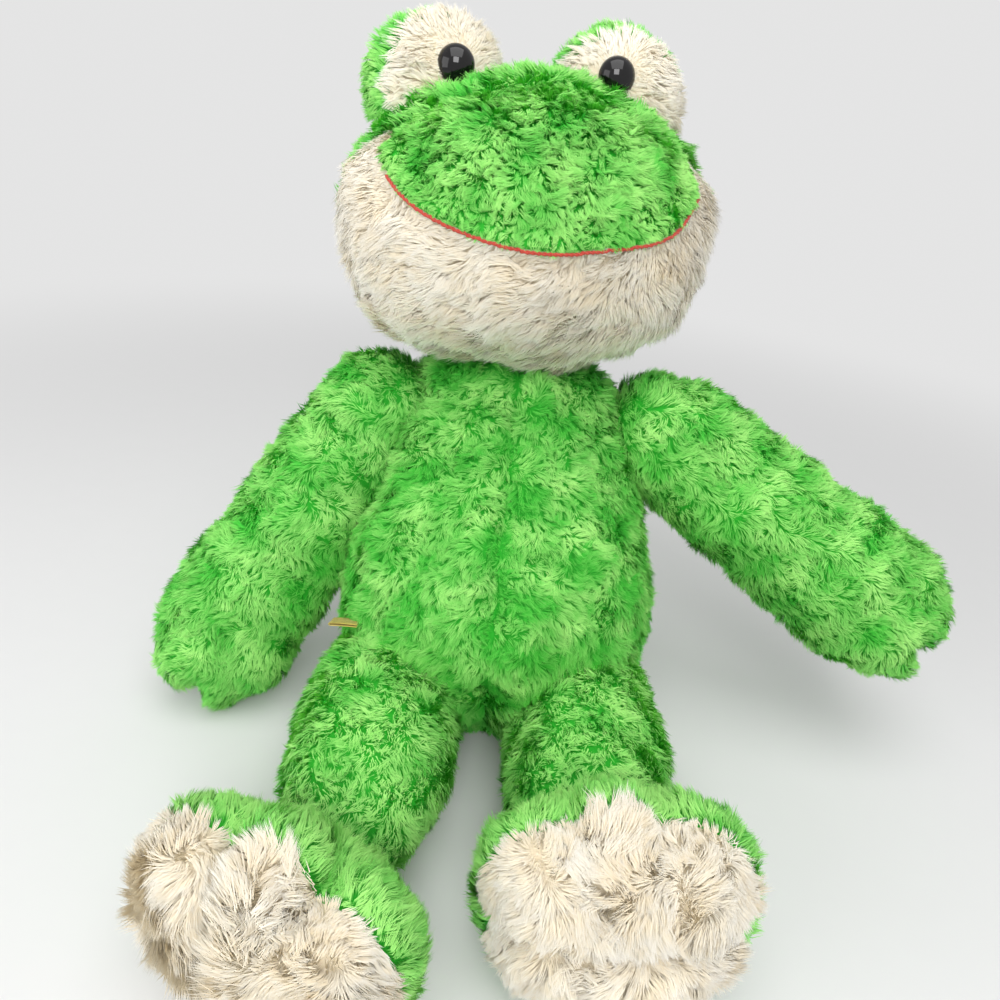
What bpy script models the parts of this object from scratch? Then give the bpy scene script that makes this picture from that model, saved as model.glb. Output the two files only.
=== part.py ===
"""A sitting plush frog: skins, fillings, eyes and small trim, each its own object.

Metres, +Z up. The toy faces -Y and sits on z = 0, and its own right side is at -X.
"""

import math

import bmesh
import bpy
from mathutils import Matrix, Vector
from mathutils.bvhtree import BVHTree

# Lengths
GAP = 0.0003
WELD = 0.000001
SKIN = 0.0060
SIT_DEPTH = 0.0005
REACH = 0.6000

HIP_HEIGHT = 0.0370
HIP_FORWARD = 0.0180
TORSO_LENGTH = 0.2070
TORSO_BELOW_HIP = 0.0375
TORSO_HALF_WIDTH = 0.0830
TORSO_HALF_DEPTH = 0.0660

NECK_RISE = 0.1840
NECK_BACK = 0.0045
NECK_RADIUS = 0.0270

HEAD_HALF_WIDTH = 0.0870
HEAD_HALF_DEPTH = 0.0750
HEAD_LENGTH = 0.1310
HEAD_BELOW_CENTRE = 0.0650
HEAD_ASIDE = 0.0045
NECK_IN_HEAD_BACK = 0.0120
NECK_IN_HEAD_DROP = 0.0520
MOUTH_SEAM_FORWARD = 0.0800
MOUTH_SEAM_DROP = 0.0080
BACK_SEAM_FORWARD = 0.0280
MOUTH_CORNER_FORWARD = 0.0490
MOUTH_CORD_RADIUS = 0.0010

BULGE_OUT = 0.0415
BULGE_ASIDE = 0.0030
BULGE_RISE = 0.0540
BULGE_BACK = 0.0080
BULGE_RADIUS = 0.0340
BULGE_DEPTH = 0.0500
BULGE_SEAM_DEPTH = 0.0180

EYE_OUT = 0.0355
EYE_RISE = 0.0620
EYE_RADIUS = 0.0083
EYE_HEIGHT = 0.0062
EYE_SINK = 0.0030
EYE_ROOM_DEPTH = 0.0250
SHANK_RADIUS = 0.0022
SHANK_LENGTH = 0.0100
WASHER_RADIUS = 0.0080
WASHER_THICKNESS = 0.0016
WASHER_DEPTH = 0.0038

SHOULDER_OUT = 0.0640
SHOULDER_RISE = 0.1460
SHOULDER_RADIUS = 0.0290
ARM_LENGTH = 0.2220
ARM_ABOVE = 0.0200
ARM_HALF_WIDTH = 0.0410
ARM_HALF_DEPTH = 0.0310
ROOT_OPENING_RADIUS = 0.0140

HIP_OUT = 0.0500
HIP_RADIUS = 0.0350
HIP_UNDER_BACK = 0.0255
HIP_UNDER_DROP = 0.0235
LEG_LENGTH = 0.1140
LEG_HALF_WIDTH = 0.0395
ANKLE_REACH = 0.1120
ANKLE_RADIUS = 0.0260

FOOT_HALF_WIDTH = 0.0570
FOOT_HALF_HEIGHT = 0.0505
FOOT_THICKNESS = 0.0540
RIGHT_FOOT_FORWARD = 0.0680
LEFT_FOOT_FORWARD = 0.0545
FOOT_RISE = 0.0190
RIGHT_FOOT_OUT = 0.0230
LEFT_FOOT_OUT = 0.0070
SOLE_DEPTH = 0.0230

PELLETS_HALF_WIDTH = 0.0300
PELLETS_HALF_DEPTH = 0.0160
PELLETS_LENGTH = 0.0360
PELLETS_LOW = 0.0140
PELLETS_BACK = 0.0220

LABEL_WIDTH = 0.0100
LABEL_THICKNESS = 0.0012
LABEL_LENGTH = 0.0090
LABEL_RISE = 0.0300
LABEL_FORWARD = 0.0365
STITCH_RADIUS = 0.0005
STITCH_STEP = 0.0060
STITCH_LOW = 0.0600
STITCH_SPREAD = 0.0015

# Angles
TORSO_LEAN = math.radians(20)
HEAD_TILT = math.radians(8)
HEAD_TURN = math.radians(7)
HEAD_ROLL = math.radians(2.5)
MOUTH_SLOPE = math.radians(38)
BACK_SEAM_SLOPE = math.radians(25)
BULGE_TURN = math.radians(8)
ARM_LOWEST = math.radians(30)
ARM_RAISED = {-1: math.radians(0), 1: math.radians(28)}
ARM_OPENING_RISE = math.radians(15)
LEG_LIFT = math.radians(6)
LEG_DROP = math.radians(45)
FOOT_LEAN = {-1: math.radians(-6), 1: math.radians(10)}
FOOT_ROLL = {-1: math.radians(6), 1: math.radians(-12)}
FOOT_YAW = {-1: math.radians(16), 1: math.radians(0)}
SOLE_SEAM_TILT = {-1: math.radians(6), 1: math.radians(0)}

# Counts
STITCHES = 9
BALL_SIDES = 16
BALL_RINGS = 8
BAR_SIDES = 16
DOME_STEPS = 4

# Rings of each form: share of its length, of its half width, of its half depth, and its forward shift
TORSO_RING_SHARES = (
    (0.030, 0.50, 0.46, -0.10),
    (0.130, 0.87, 0.80, -0.05),
    (0.285, 1.00, 0.98, 0.03),
    (0.450, 0.99, 0.98, 0.05),
    (0.620, 0.88, 0.82, 0.02),
    (0.770, 0.78, 0.68, -0.02),
    (0.900, 0.68, 0.56, -0.06),
    (0.975, 0.46, 0.42, -0.06),
)
HEAD_RING_SHARES = (
    (0.050, 0.46, 0.42, 0.12),
    (0.180, 0.82, 0.76, 0.17),
    (0.360, 0.99, 0.96, 0.18),
    (0.550, 1.00, 0.98, 0.14),
    (0.730, 0.89, 0.89, 0.07),
    (0.880, 0.66, 0.67, 0.00),
    (0.970, 0.36, 0.37, -0.05),
)
ARM_RING_SHARES = (
    (0.030, 0.52, 0.68, 0.00),
    (0.120, 0.78, 0.98, 0.00),
    (0.360, 0.82, 0.98, 0.00),
    (0.600, 0.90, 0.98, 0.00),
    (0.790, 1.00, 1.00, 0.00),
    (0.920, 0.84, 0.80, 0.00),
    (0.983, 0.48, 0.45, 0.00),
)
LEG_RING_SHARES = (
    (0.050, 0.70, 0.70, 0.00),
    (0.200, 0.97, 0.97, 0.00),
    (0.450, 1.00, 1.00, 0.00),
    (0.680, 1.00, 1.00, 0.00),
    (0.850, 0.86, 0.86, 0.00),
    (0.950, 0.52, 0.52, 0.00),
)
FOOT_RING_SHARES = (
    (0.090, 0.64, 0.64, 0.00),
    (0.350, 1.00, 1.00, 0.00),
    (0.680, 0.96, 0.96, 0.00),
    (0.930, 0.58, 0.58, 0.00),
)
FOOT_OUTLINE_SHARES = (
    1.00, 1.04, 1.14, 1.00, 1.16, 1.00, 1.14, 1.04,
    1.00, 0.97, 0.96, 0.95, 0.94, 0.95, 0.96, 0.97,
)
BULGE_RING_SHARES = (
    (0.080, 0.58, 0.58, 0.00),
    (0.320, 0.96, 0.96, 0.00),
    (0.650, 1.00, 1.00, 0.00),
    (0.920, 0.74, 0.74, 0.00),
)
PELLET_RING_SHARES = (
    (0.120, 0.66, 0.66, 0.00),
    (0.500, 1.00, 1.00, 0.00),
    (0.880, 0.66, 0.66, 0.00),
)
TORSO_SIDES = 12
HEAD_SIDES = 12
ARM_SIDES = 10
LEG_SIDES = 10
BULGE_SIDES = 10
LINING_SIDES = 12

# Colours
GREEN = (0.045, 0.330, 0.035, 1.0)
DEEP_GREEN = (0.030, 0.250, 0.030, 1.0)
CREAM = (0.800, 0.690, 0.520, 1.0)
WHITE = (0.850, 0.850, 0.840, 1.0)
BLACK = (0.006, 0.006, 0.007, 1.0)
RED = (0.550, 0.030, 0.020, 1.0)
YELLOW = (0.650, 0.430, 0.070, 1.0)
BROWN = (0.250, 0.160, 0.090, 1.0)

SIDES = {-1: "right", 1: "left"}


def clear_scene():
    for obj in list(bpy.data.objects):
        bpy.data.objects.remove(obj, do_unlink=True)


def new_collection(name):
    collection = bpy.data.collections.new(name)
    bpy.context.scene.collection.children.link(collection)
    return collection


def plain_material(name, colour, roughness):
    material = bpy.data.materials.new(name)
    material.use_nodes = True
    shader = material.node_tree.nodes["Principled BSDF"]
    shader.inputs["Base Color"].default_value = colour
    shader.inputs["Roughness"].default_value = roughness
    return material


def link_part(name, mesh, colour, roughness=0.9):
    """A named sub-part in the frog's collection, with its own material."""
    obj = bpy.data.objects.new(name, mesh)
    PARTS.objects.link(obj)
    obj.data.materials.clear()
    obj.data.materials.append(plain_material(name, colour, roughness))
    return obj


def link_cutter(name, mesh):
    """A shape that only cuts or joins, kept out of renders."""
    obj = bpy.data.objects.new(name, mesh)
    CUTTERS.objects.link(obj)
    obj.hide_render = True
    obj.display_type = "WIRE"
    return obj


def boolean(obj, cutter, operation="DIFFERENCE", solver="EXACT"):
    modifier = obj.modifiers.new(cutter.name, "BOOLEAN")
    modifier.object = cutter
    modifier.operation = operation
    modifier.solver = solver


def cut(obj, *cutters, solver="EXACT"):
    for cutter in cutters:
        boolean(obj, cutter, "DIFFERENCE", solver)
    return obj


def evaluated_mesh(obj):
    """The object's mesh with its modifiers done, in its own space."""
    graph = bpy.context.evaluated_depsgraph_get()
    return bpy.data.meshes.new_from_object(obj.evaluated_get(graph), depsgraph=graph)


def frozen(obj, name):
    """A cutter that holds the object's shape as it is now, with its modifiers done."""
    mesh = evaluated_mesh(obj)
    mesh.transform(obj.matrix_world)
    shape = bmesh.new()
    shape.from_mesh(mesh)
    bmesh.ops.remove_doubles(shape, verts=shape.verts[:], dist=WELD)
    shape.to_mesh(mesh)
    shape.free()
    return link_cutter(name, mesh)


def ring_cage(length, half_width, half_depth, rings, outline, inset):
    """A closed cage of rings along +Z, from a UV sphere whose rings are moved to their stations."""
    cage = bmesh.new()
    bmesh.ops.create_uvsphere(cage, u_segments=len(outline), v_segments=len(rings) + 1, radius=1.0)
    for vert in cage.verts:
        polar = math.acos(max(-1.0, min(1.0, -vert.co.z)))
        index = round(polar * (len(rings) + 1) / math.pi)
        if index == 0:
            vert.co = Vector((0.0, 0.0, inset))
        elif index == len(rings) + 1:
            vert.co = Vector((0.0, 0.0, length - inset))
        else:
            vert.co = ring_point(vert.co, rings[index - 1], length, half_width, half_depth,
                                 outline, inset)
    return cage


def ring_point(co, ring, length, half_width, half_depth, outline, inset):
    along, width, depth, forward = ring
    turn = math.atan2(co.y, co.x) % (2.0 * math.pi)
    swell = outline[round(turn * len(outline) / (2.0 * math.pi)) % len(outline)]
    x = math.cos(turn) * swell * width * (half_width - inset)
    y = math.sin(turn) * swell * depth * (half_depth - inset)
    z = inset + along * (length - 2.0 * inset)
    return Vector((x, y - forward * half_depth, z))


def rounded_outline(shares):
    """The outline widened by what the Subdivision Surface takes off a regular polygon."""
    widen = 4.0 / (3.0 + math.cos(2.0 * math.pi / len(shares)))
    return [share * widen for share in shares]


def soft_form(name, place, size, rings, shares, inset=0.0):
    """A stuffed form: its cage rounded by a Subdivision Surface, kept as a cutter at its place."""
    cage = ring_cage(*size, rings, rounded_outline(shares), inset)
    mesh = bpy.data.meshes.new(name)
    cage.to_mesh(mesh)
    cage.free()
    mesh.transform(place)
    rough = bpy.data.objects.new(name + "_cage", mesh)
    CUTTERS.objects.link(rough)
    modifier = rough.modifiers.new("Rounding", "SUBSURF")
    modifier.levels = 1
    modifier.render_levels = 1
    form = evaluated_mesh(rough)
    bpy.data.objects.remove(rough, do_unlink=True)
    bpy.data.meshes.remove(mesh)
    return link_cutter(name, form)


def inner_form(name, place, size, rings, inset):
    """A plain form inside a stuffed one, inset from its surface: a lining or a filling."""
    cage = ring_cage(*size, rings, [1.0] * LINING_SIDES, inset)
    bmesh.ops.triangulate(cage, faces=cage.faces[:], quad_method="FIXED")
    mesh = bpy.data.meshes.new(name)
    cage.to_mesh(mesh)
    cage.free()
    mesh.transform(place)
    return link_cutter(name, mesh)


def nested_forms(name, place, size, rings, shares):
    """A form with its lining and its filling's form inside, a gap apart."""
    outer = soft_form(name + "_outer", place, size, rings, shares)
    lining = inner_form(name + "_lining", place, size, rings, SKIN)
    stuffed = inner_form(name + "_stuffed", place, size, rings, SKIN + GAP)
    return outer, lining, stuffed


def ball(name, centre, radius, turn=0.0):
    """A sphere whose poles lie on the X axis through its centre."""
    mesh = bpy.data.meshes.new(name)
    shape = bmesh.new()
    place = Matrix.Translation(centre) @ Matrix.Rotation(turn, 4, "X")
    lying = place @ Matrix.Rotation(math.pi / 2.0, 4, "Y")
    bmesh.ops.create_uvsphere(shape, u_segments=BALL_SIDES, v_segments=BALL_RINGS, radius=radius,
                              matrix=lying)
    shape.to_mesh(mesh)
    shape.free()
    return link_cutter(name, mesh)


def socket(name, centre, radius):
    """A hollow for a ball of this radius, with its flats a gap away from the ball's corners."""
    facets = math.cos(math.pi / BALL_SIDES) * math.cos(math.pi / (2.0 * BALL_RINGS))
    return ball(name, centre, (radius + GAP) / facets, math.pi / BALL_SIDES)


def half_space(name, point, normal):
    """A block that fills the side of a plane that its normal points to."""
    mesh = bpy.data.meshes.new(name)
    shape = bmesh.new()
    turn = normal.to_track_quat("Z", "Y").to_matrix().to_4x4()
    place = Matrix.Translation(point) @ turn @ Matrix.Translation((0.0, 0.0, REACH / 2.0))
    bmesh.ops.create_cube(shape, size=REACH, matrix=place)
    shape.to_mesh(mesh)
    shape.free()
    return link_cutter(name, mesh)


def seam_pair(name, point, normal):
    """The two sides of a seam, half a gap to each side of its plane."""
    ahead = half_space(name + "_ahead", point - normal * GAP / 2.0, normal)
    behind = half_space(name + "_behind", point + normal * GAP / 2.0, -normal)
    return ahead, behind


def cylinder(name, place, radius, low, high, sides=BAR_SIDES):
    """A round bar along the place's Z axis, from low to high."""
    mesh = bpy.data.meshes.new(name)
    shape = bmesh.new()
    middle = place @ Matrix.Translation((0.0, 0.0, (low + high) / 2.0))
    bmesh.ops.create_cone(shape, cap_ends=True, segments=sides, radius1=radius, radius2=radius,
                          depth=high - low, matrix=middle)
    shape.to_mesh(mesh)
    shape.free()
    return link_cutter(name, mesh)


def turned_copy(cutter, name, pivot, rotation):
    mesh = cutter.data.copy()
    place = Matrix.Translation(pivot) @ rotation @ Matrix.Translation(-pivot)
    mesh.transform(place)
    return link_cutter(name, mesh)


def torso_place():
    """The middle of the hips, with +Z up the leaning torso."""
    hips = Matrix.Translation((0.0, -HIP_FORWARD, HIP_HEIGHT))
    return hips @ Matrix.Rotation(-TORSO_LEAN, 4, "X")


def neck_centre():
    return torso_place() @ Vector((0.0, NECK_BACK, NECK_RISE))


def head_place():
    """The middle of the head, tilted back and turned."""
    turn = Matrix.Rotation(-HEAD_TILT, 4, "X") @ Matrix.Rotation(HEAD_TURN, 4, "Z")
    turn = turn @ Matrix.Rotation(-HEAD_ROLL, 4, "Y")
    from_neck = Matrix.Translation((-HEAD_ASIDE, -NECK_IN_HEAD_BACK, NECK_IN_HEAD_DROP))
    return Matrix.Translation(neck_centre()) @ turn @ from_neck


def bulge_place(side):
    """The middle of an eye bulge, turned in towards the other one."""
    local = Matrix.Translation((side * BULGE_OUT - BULGE_ASIDE, BULGE_BACK, BULGE_RISE))
    return head_place() @ local @ Matrix.Rotation(-side * BULGE_TURN, 4, "Z")


def shoulder_centre(side):
    return torso_place() @ Vector((side * SHOULDER_OUT, 0.0, SHOULDER_RISE))


def arm_place(side):
    """+Z runs down the arm as it hangs lowest."""
    turn = Matrix.Rotation(side * (math.pi - ARM_LOWEST), 4, "Y")
    local = Matrix.Translation((side * SHOULDER_OUT, 0.0, SHOULDER_RISE))
    return torso_place() @ local @ turn


def shoulder_opening_place(side):
    """-Z runs from the shoulder into the torso, where the arm's skin is open in every pose."""
    turn = Matrix.Rotation(side * (math.pi / 2.0 + ARM_OPENING_RISE), 4, "Y")
    local = Matrix.Translation((side * SHOULDER_OUT, 0.0, SHOULDER_RISE))
    return torso_place() @ local @ turn


def arm_lift(side):
    """The turn about the torso's front-back axis that raises an arm to its rest pose."""
    axis = torso_place().to_3x3() @ Vector((0.0, 1.0, 0.0))
    return Matrix.Rotation(-side * ARM_RAISED[side], 4, axis)


def hip_centre(side):
    return Vector((side * HIP_OUT, -HIP_FORWARD, HIP_HEIGHT))


def leg_place(side):
    return Matrix.Translation(hip_centre(side)) @ Matrix.Rotation(math.pi / 2.0, 4, "X")


def ankle_centre(side):
    return hip_centre(side) + Vector((0.0, -ANKLE_REACH, 0.0))


def foot_place(side):
    """+Z runs from the sole to the upper, +Y to the toes."""
    lean = Matrix.Rotation(-FOOT_LEAN[side], 4, "X")
    out = RIGHT_FOOT_OUT if side < 0 else LEFT_FOOT_OUT
    forward = RIGHT_FOOT_FORWARD if side < 0 else LEFT_FOOT_FORWARD
    middle = Matrix.Translation((side * out, -forward, FOOT_RISE))
    yaw = Matrix.Rotation(side * FOOT_YAW[side], 4, "Z")
    roll = Matrix.Rotation(FOOT_ROLL[side], 4, "Y")
    stand = Matrix.Rotation(-math.pi / 2.0, 4, "X") @ Matrix.Rotation(math.pi, 4, "Z")
    return Matrix.Translation(ankle_centre(side)) @ lean @ middle @ yaw @ roll @ stand


def torso_shape():
    place = torso_place() @ Matrix.Translation((0.0, 0.0, -TORSO_BELOW_HIP))
    size = (TORSO_LENGTH, TORSO_HALF_WIDTH, TORSO_HALF_DEPTH)
    return place, size, TORSO_RING_SHARES, [1.0] * TORSO_SIDES


def head_shape():
    place = head_place() @ Matrix.Translation((0.0, 0.0, -HEAD_BELOW_CENTRE))
    size = (HEAD_LENGTH, HEAD_HALF_WIDTH, HEAD_HALF_DEPTH)
    return place, size, HEAD_RING_SHARES, [1.0] * HEAD_SIDES


def arm_shape(side):
    place = arm_place(side) @ Matrix.Translation((0.0, 0.0, -ARM_ABOVE))
    size = (ARM_LENGTH, ARM_HALF_WIDTH, ARM_HALF_DEPTH)
    return place, size, ARM_RING_SHARES, [1.0] * ARM_SIDES


def leg_shape(side):
    size = (LEG_LENGTH, LEG_HALF_WIDTH, LEG_HALF_WIDTH)
    return leg_place(side), size, LEG_RING_SHARES, [1.0] * LEG_SIDES


def foot_shape(side):
    size = (FOOT_THICKNESS, FOOT_HALF_WIDTH, FOOT_HALF_HEIGHT)
    return foot_place(side), size, FOOT_RING_SHARES, FOOT_OUTLINE_SHARES


def bulge_shape(side):
    stand = Matrix.Rotation(math.pi / 2.0, 4, "X")
    place = bulge_place(side) @ Matrix.Translation((0.0, BULGE_DEPTH / 2.0, 0.0)) @ stand
    size = (BULGE_DEPTH, BULGE_RADIUS, BULGE_RADIUS)
    return place, size, BULGE_RING_SHARES, [1.0] * BULGE_SIDES


def lowest(cutter):
    return min(vert.co.z for vert in cutter.data.vertices)


def settle(*forms):
    """Lowers or lifts nested forms until the first one reaches the sitting depth below the floor."""
    shift = -SIT_DEPTH - lowest(forms[0])
    for form in forms:
        form.data.transform(Matrix.Translation((0.0, 0.0, shift)))


def surface_of(cutter):
    """The cutter's surface, for finding where rays meet it."""
    return BVHTree.FromObject(cutter, bpy.context.evaluated_depsgraph_get())


def joined(name, first, *others):
    """The union of closed cutters, as one more cutter.

    EXACT leaves open edges where rounded forms nearly touch, so this uses the MANIFOLD solver.
    """
    obj = link_cutter(name + "_parts", first.data.copy())
    for other in others:
        boolean(obj, other, "UNION", "MANIFOLD")
    return frozen(obj, name)


def less(name, first, *others):
    """A cutter that is the first one with the others taken out."""
    obj = link_cutter(name + "_whole", first.data.copy())
    cut(obj, *others)
    return frozen(obj, name)


def set_origin(obj, point):
    """Moves a piece's origin to a point without moving the piece."""
    obj.data.transform(Matrix.Translation(-point))
    obj.matrix_world = Matrix.Translation(point)


def skin(name, outer, lining, colour, *cutters):
    """A shell of plush between its outer form and its lining, with the cutters taken out."""
    obj = link_part(name, outer.data.copy(), colour)
    return cut(obj, lining, *cutters, solver="MANIFOLD")


def filling(name, form, outer, *cutters):
    """The part of a filling's form that lies inside its outer form, with the cutters taken out."""
    obj = link_part(name, form.data.copy(), WHITE)
    boolean(obj, outer, "INTERSECT", "MANIFOLD")
    return cut(obj, *cutters)


def leg_clearances(side):
    """What a leg needs kept clear from its lowest to its highest pose."""
    name = SIDES[side]
    hip = hip_centre(side)
    rest = soft_form("leg_clear_" + name, *leg_shape(side), inset=-GAP)
    settle(soft_form("leg_rest_" + name, *leg_shape(side)), rest)
    lift = turned_copy(rest, "leg_lifted_" + name, hip, Matrix.Rotation(-LEG_LIFT, 4, "X"))
    drop = turned_copy(rest, "leg_dropped_" + name, hip, Matrix.Rotation(LEG_DROP, 4, "X"))
    ball_room = socket("hip_socket_" + name, hip, HIP_RADIUS)
    return joined("leg_room_" + name, ball_room, rest, lift, drop, leg_sweep(side))


def leg_sweep(side):
    """The room under a level leg's axis, and under the hip, down through the floor."""
    hip = hip_centre(side)
    half = LEG_HALF_WIDTH + 2.0 * GAP
    under = HIP_HEIGHT - HIP_UNDER_DROP
    outline = ((-LEG_LENGTH, -HIP_HEIGHT), (HIP_UNDER_BACK, -HIP_HEIGHT), (HIP_UNDER_BACK, under),
               (GAP, under), (GAP, HIP_HEIGHT - GAP), (-LEG_LENGTH, HIP_HEIGHT - GAP))
    shape = bmesh.new()
    corners = [shape.verts.new((hip.x - half, hip.y + y, z)) for y, z in outline]
    face = shape.faces.new(corners)
    pushed = bmesh.ops.extrude_face_region(shape, geom=[face])["geom"]
    far = [item for item in pushed if isinstance(item, bmesh.types.BMVert)]
    bmesh.ops.translate(shape, verts=far, vec=(2.0 * half, 0.0, 0.0))
    bmesh.ops.recalc_face_normals(shape, faces=shape.faces[:])
    mesh = bpy.data.meshes.new("leg_sweep_" + SIDES[side])
    shape.to_mesh(mesh)
    shape.free()
    return link_cutter(mesh.name, mesh)


def build_torso(floor):
    outer, lining, stuffed = nested_forms("torso", *torso_shape())
    arm_stop = soft_form("arm_stop", *torso_shape(), inset=-GAP)
    settle(outer, lining, stuffed, arm_stop)
    rooms = [leg_clearances(side) for side in SIDES]
    rooms += [socket("shoulder_socket_" + SIDES[side], shoulder_centre(side), SHOULDER_RADIUS)
              for side in SIDES]
    rooms += [socket("neck_socket_torso", neck_centre(), NECK_RADIUS), floor]
    body = less("torso_body", outer, *rooms)
    place = torso_place()
    middle = place.translation
    ahead, behind = seam_pair("side_seam", middle, place.to_3x3() @ Vector((0.0, -1.0, 0.0)))
    leftward, rightward = seam_pair("front_seam", middle, Vector((1.0, 0.0, 0.0)))
    skin("torso_front_right", body, lining, GREEN, behind, leftward)
    skin("torso_front_left", body, lining, GREEN, behind, rightward)
    skin("torso_back", body, lining, GREEN, ahead)
    build_torso_filling(body, stuffed)
    build_label(outer)
    build_closing_stitch(outer)
    return arm_stop


def build_torso_filling(body, stuffed):
    place = Matrix.Translation((0.0, PELLETS_BACK, PELLETS_LOW))
    size = (PELLETS_LENGTH, PELLETS_HALF_WIDTH, PELLETS_HALF_DEPTH)
    room = inner_form("pellet_room", place, size, PELLET_RING_SHARES, -GAP)
    filling("torso_filling", stuffed, body, room)
    form = inner_form("pellet_form", place, size, PELLET_RING_SHARES, 0.0)
    bag = link_part("seat_pellet_bag", form.data.copy(), BROWN, 0.8)
    boolean(bag, stuffed, "INTERSECT", "MANIFOLD")


def build_label(outer):
    """A small folded label that stands out from the toy's right hip, over the leg."""
    place = torso_place()
    widest = Vector((-REACH, LABEL_WIDTH / 2.0 - LABEL_FORWARD, LABEL_RISE - LABEL_THICKNESS / 2.0))
    start = place @ widest
    hit = surface_of(outer).ray_cast(start, Vector((1.0, 0.0, 0.0)))[0]
    inner_edge = (place.inverted() @ hit).x - GAP
    size = Matrix.Diagonal((LABEL_LENGTH, LABEL_WIDTH, LABEL_THICKNESS, 1.0))
    local = Matrix.Translation((inner_edge - LABEL_LENGTH / 2.0, -LABEL_FORWARD, LABEL_RISE))
    mesh = bpy.data.meshes.new("side_label")
    shape = bmesh.new()
    bmesh.ops.create_cube(shape, size=1.0, matrix=place @ local @ size)
    shape.to_mesh(mesh)
    shape.free()
    link_part("side_label", mesh, YELLOW, 0.7)


def thread(name, points, radius, colour):
    """A thin round thread through the points, with its ends closed."""
    curve = bpy.data.curves.new(name, "CURVE")
    curve.dimensions = "3D"
    curve.bevel_depth = radius
    curve.bevel_resolution = 1
    curve.use_fill_caps = True
    spline = curve.splines.new("POLY")
    spline.points.add(len(points) - 1)
    for point, co in zip(spline.points, points):
        point.co = (*co, 1.0)
    return link_part(name, curve, colour, 0.6)


def build_closing_stitch(outer):
    """The zigzag of the hand-sewn closing seam, low on the toy's back."""
    place = torso_place()
    inward = place.to_3x3() @ Vector((0.0, -1.0, 0.0))
    surface = surface_of(outer)
    points = []
    for count in range(STITCHES):
        x = STITCH_SPREAD if count % 2 else -STITCH_SPREAD
        start = place @ Vector((x, REACH, STITCH_LOW + count * STITCH_STEP))
        hit, normal = surface.ray_cast(start, inward)[:2]
        points.append(hit + normal * (STITCH_RADIUS + 2.0 * GAP))
    thread("back_closing_stitch", points, STITCH_RADIUS, DEEP_GREEN)


def build_neck():
    neck = ball("neck_ball", neck_centre(), NECK_RADIUS)
    link_part("neck_filling", neck.data.copy(), WHITE)


def mouth_plane(place):
    point = place @ Vector((0.0, -MOUTH_SEAM_FORWARD, -MOUTH_SEAM_DROP))
    normal = Vector((0.0, math.sin(MOUTH_SLOPE), -math.cos(MOUTH_SLOPE)))
    return point, place.to_3x3() @ normal


def build_head():
    place = head_place()
    outer, lining, stuffed = nested_forms("head", *head_shape())
    neck = socket("neck_socket_head", neck_centre(), NECK_RADIUS)
    point, down = mouth_plane(place)
    below, above = seam_pair("mouth_seam", point, down)
    back_point = place @ Vector((0.0, -BACK_SEAM_FORWARD, 0.0))
    forward = Vector((0.0, -math.cos(BACK_SEAM_SLOPE), -math.sin(BACK_SEAM_SLOPE)))
    ahead, behind = seam_pair("back_seam", back_point, place.to_3x3() @ forward)
    bulges = {side: nested_forms("bulge_" + SIDES[side], *bulge_shape(side)) for side in SIDES}
    seats = {side: eye_seat(side, place, bulges[side][0]) for side in SIDES}
    rooms = {side: eye_rooms(SIDES[side], seats[side]) for side in SIDES}
    eyes = [room for side in SIDES for room in rooms[side]]
    skin("head_muzzle", outer, lining, GREEN, below, behind, neck, *eyes)
    skin("head_jaw", outer, lining, CREAM, above, behind, neck)
    skin("head_back", outer, lining, GREEN, ahead, neck, *eyes)
    filling("head_filling", stuffed, outer, neck, *eyes)
    build_mouth_line(outer, place, point, down)
    head_room = soft_form("head_room", *head_shape(), inset=-GAP)
    for side in SIDES:
        build_bulge(side, bulges[side], head_room, rooms[side])
        build_eye(SIDES[side], seats[side])
        build_washer(SIDES[side], seats[side])


def build_mouth_line(outer, place, point, down):
    """The red line that follows the seam between muzzle and jaw, from corner to corner."""
    surface = surface_of(outer)
    section = bmesh.new()
    section.from_mesh(outer.data)
    whole = section.verts[:] + section.edges[:] + section.faces[:]
    found = bmesh.ops.bisect_plane(section, geom=whole, plane_co=point, plane_no=down)["geom_cut"]
    corners = [item.co.copy() for item in found if isinstance(item, bmesh.types.BMVert)]
    section.free()
    to_head = place.inverted()
    front = [co for co in corners if (to_head @ co).y < -MOUTH_CORNER_FORWARD]
    front.sort(key=lambda co: (to_head @ co).x)
    points = []
    for co in front:
        normal = surface.find_nearest(co)[1]
        points.append(co + normal * (MOUTH_CORD_RADIUS + GAP))
    thread("mouth_line", points, MOUTH_CORD_RADIUS, RED)


def build_bulge(side, forms, head_room, rooms):
    """An eye bulge seated on the head: cream front, green back and filling."""
    name = SIDES[side]
    outer, lining, stuffed = forms
    place = bulge_place(side)
    point = place @ Vector((0.0, BULGE_SEAM_DEPTH - BULGE_DEPTH / 2.0, 0.0))
    forward = place.to_3x3() @ Vector((0.0, -1.0, 0.0))
    ahead, behind = seam_pair("bulge_seam_" + name, point, forward)
    skin(f"eye_bulge_front_{name}", outer, lining, CREAM, behind, head_room, *rooms)
    skin(f"eye_bulge_back_{name}", outer, lining, GREEN, ahead, head_room)
    filling(f"eye_bulge_filling_{name}", stuffed, outer, head_room, *rooms)


def eye_seat(side, place, outer):
    """The eye's seat, sunk into the bulge's front, with +Z facing out."""
    start = place @ Vector((side * EYE_OUT, -REACH, EYE_RISE))
    back = place.to_3x3() @ Vector((0.0, 1.0, 0.0))
    hit = surface_of(outer).ray_cast(start, back)[0] + back * EYE_SINK
    turn = place.to_3x3().to_4x4() @ Matrix.Rotation(math.pi / 2.0, 4, "X")
    return Matrix.Translation(hit) @ turn


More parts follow.
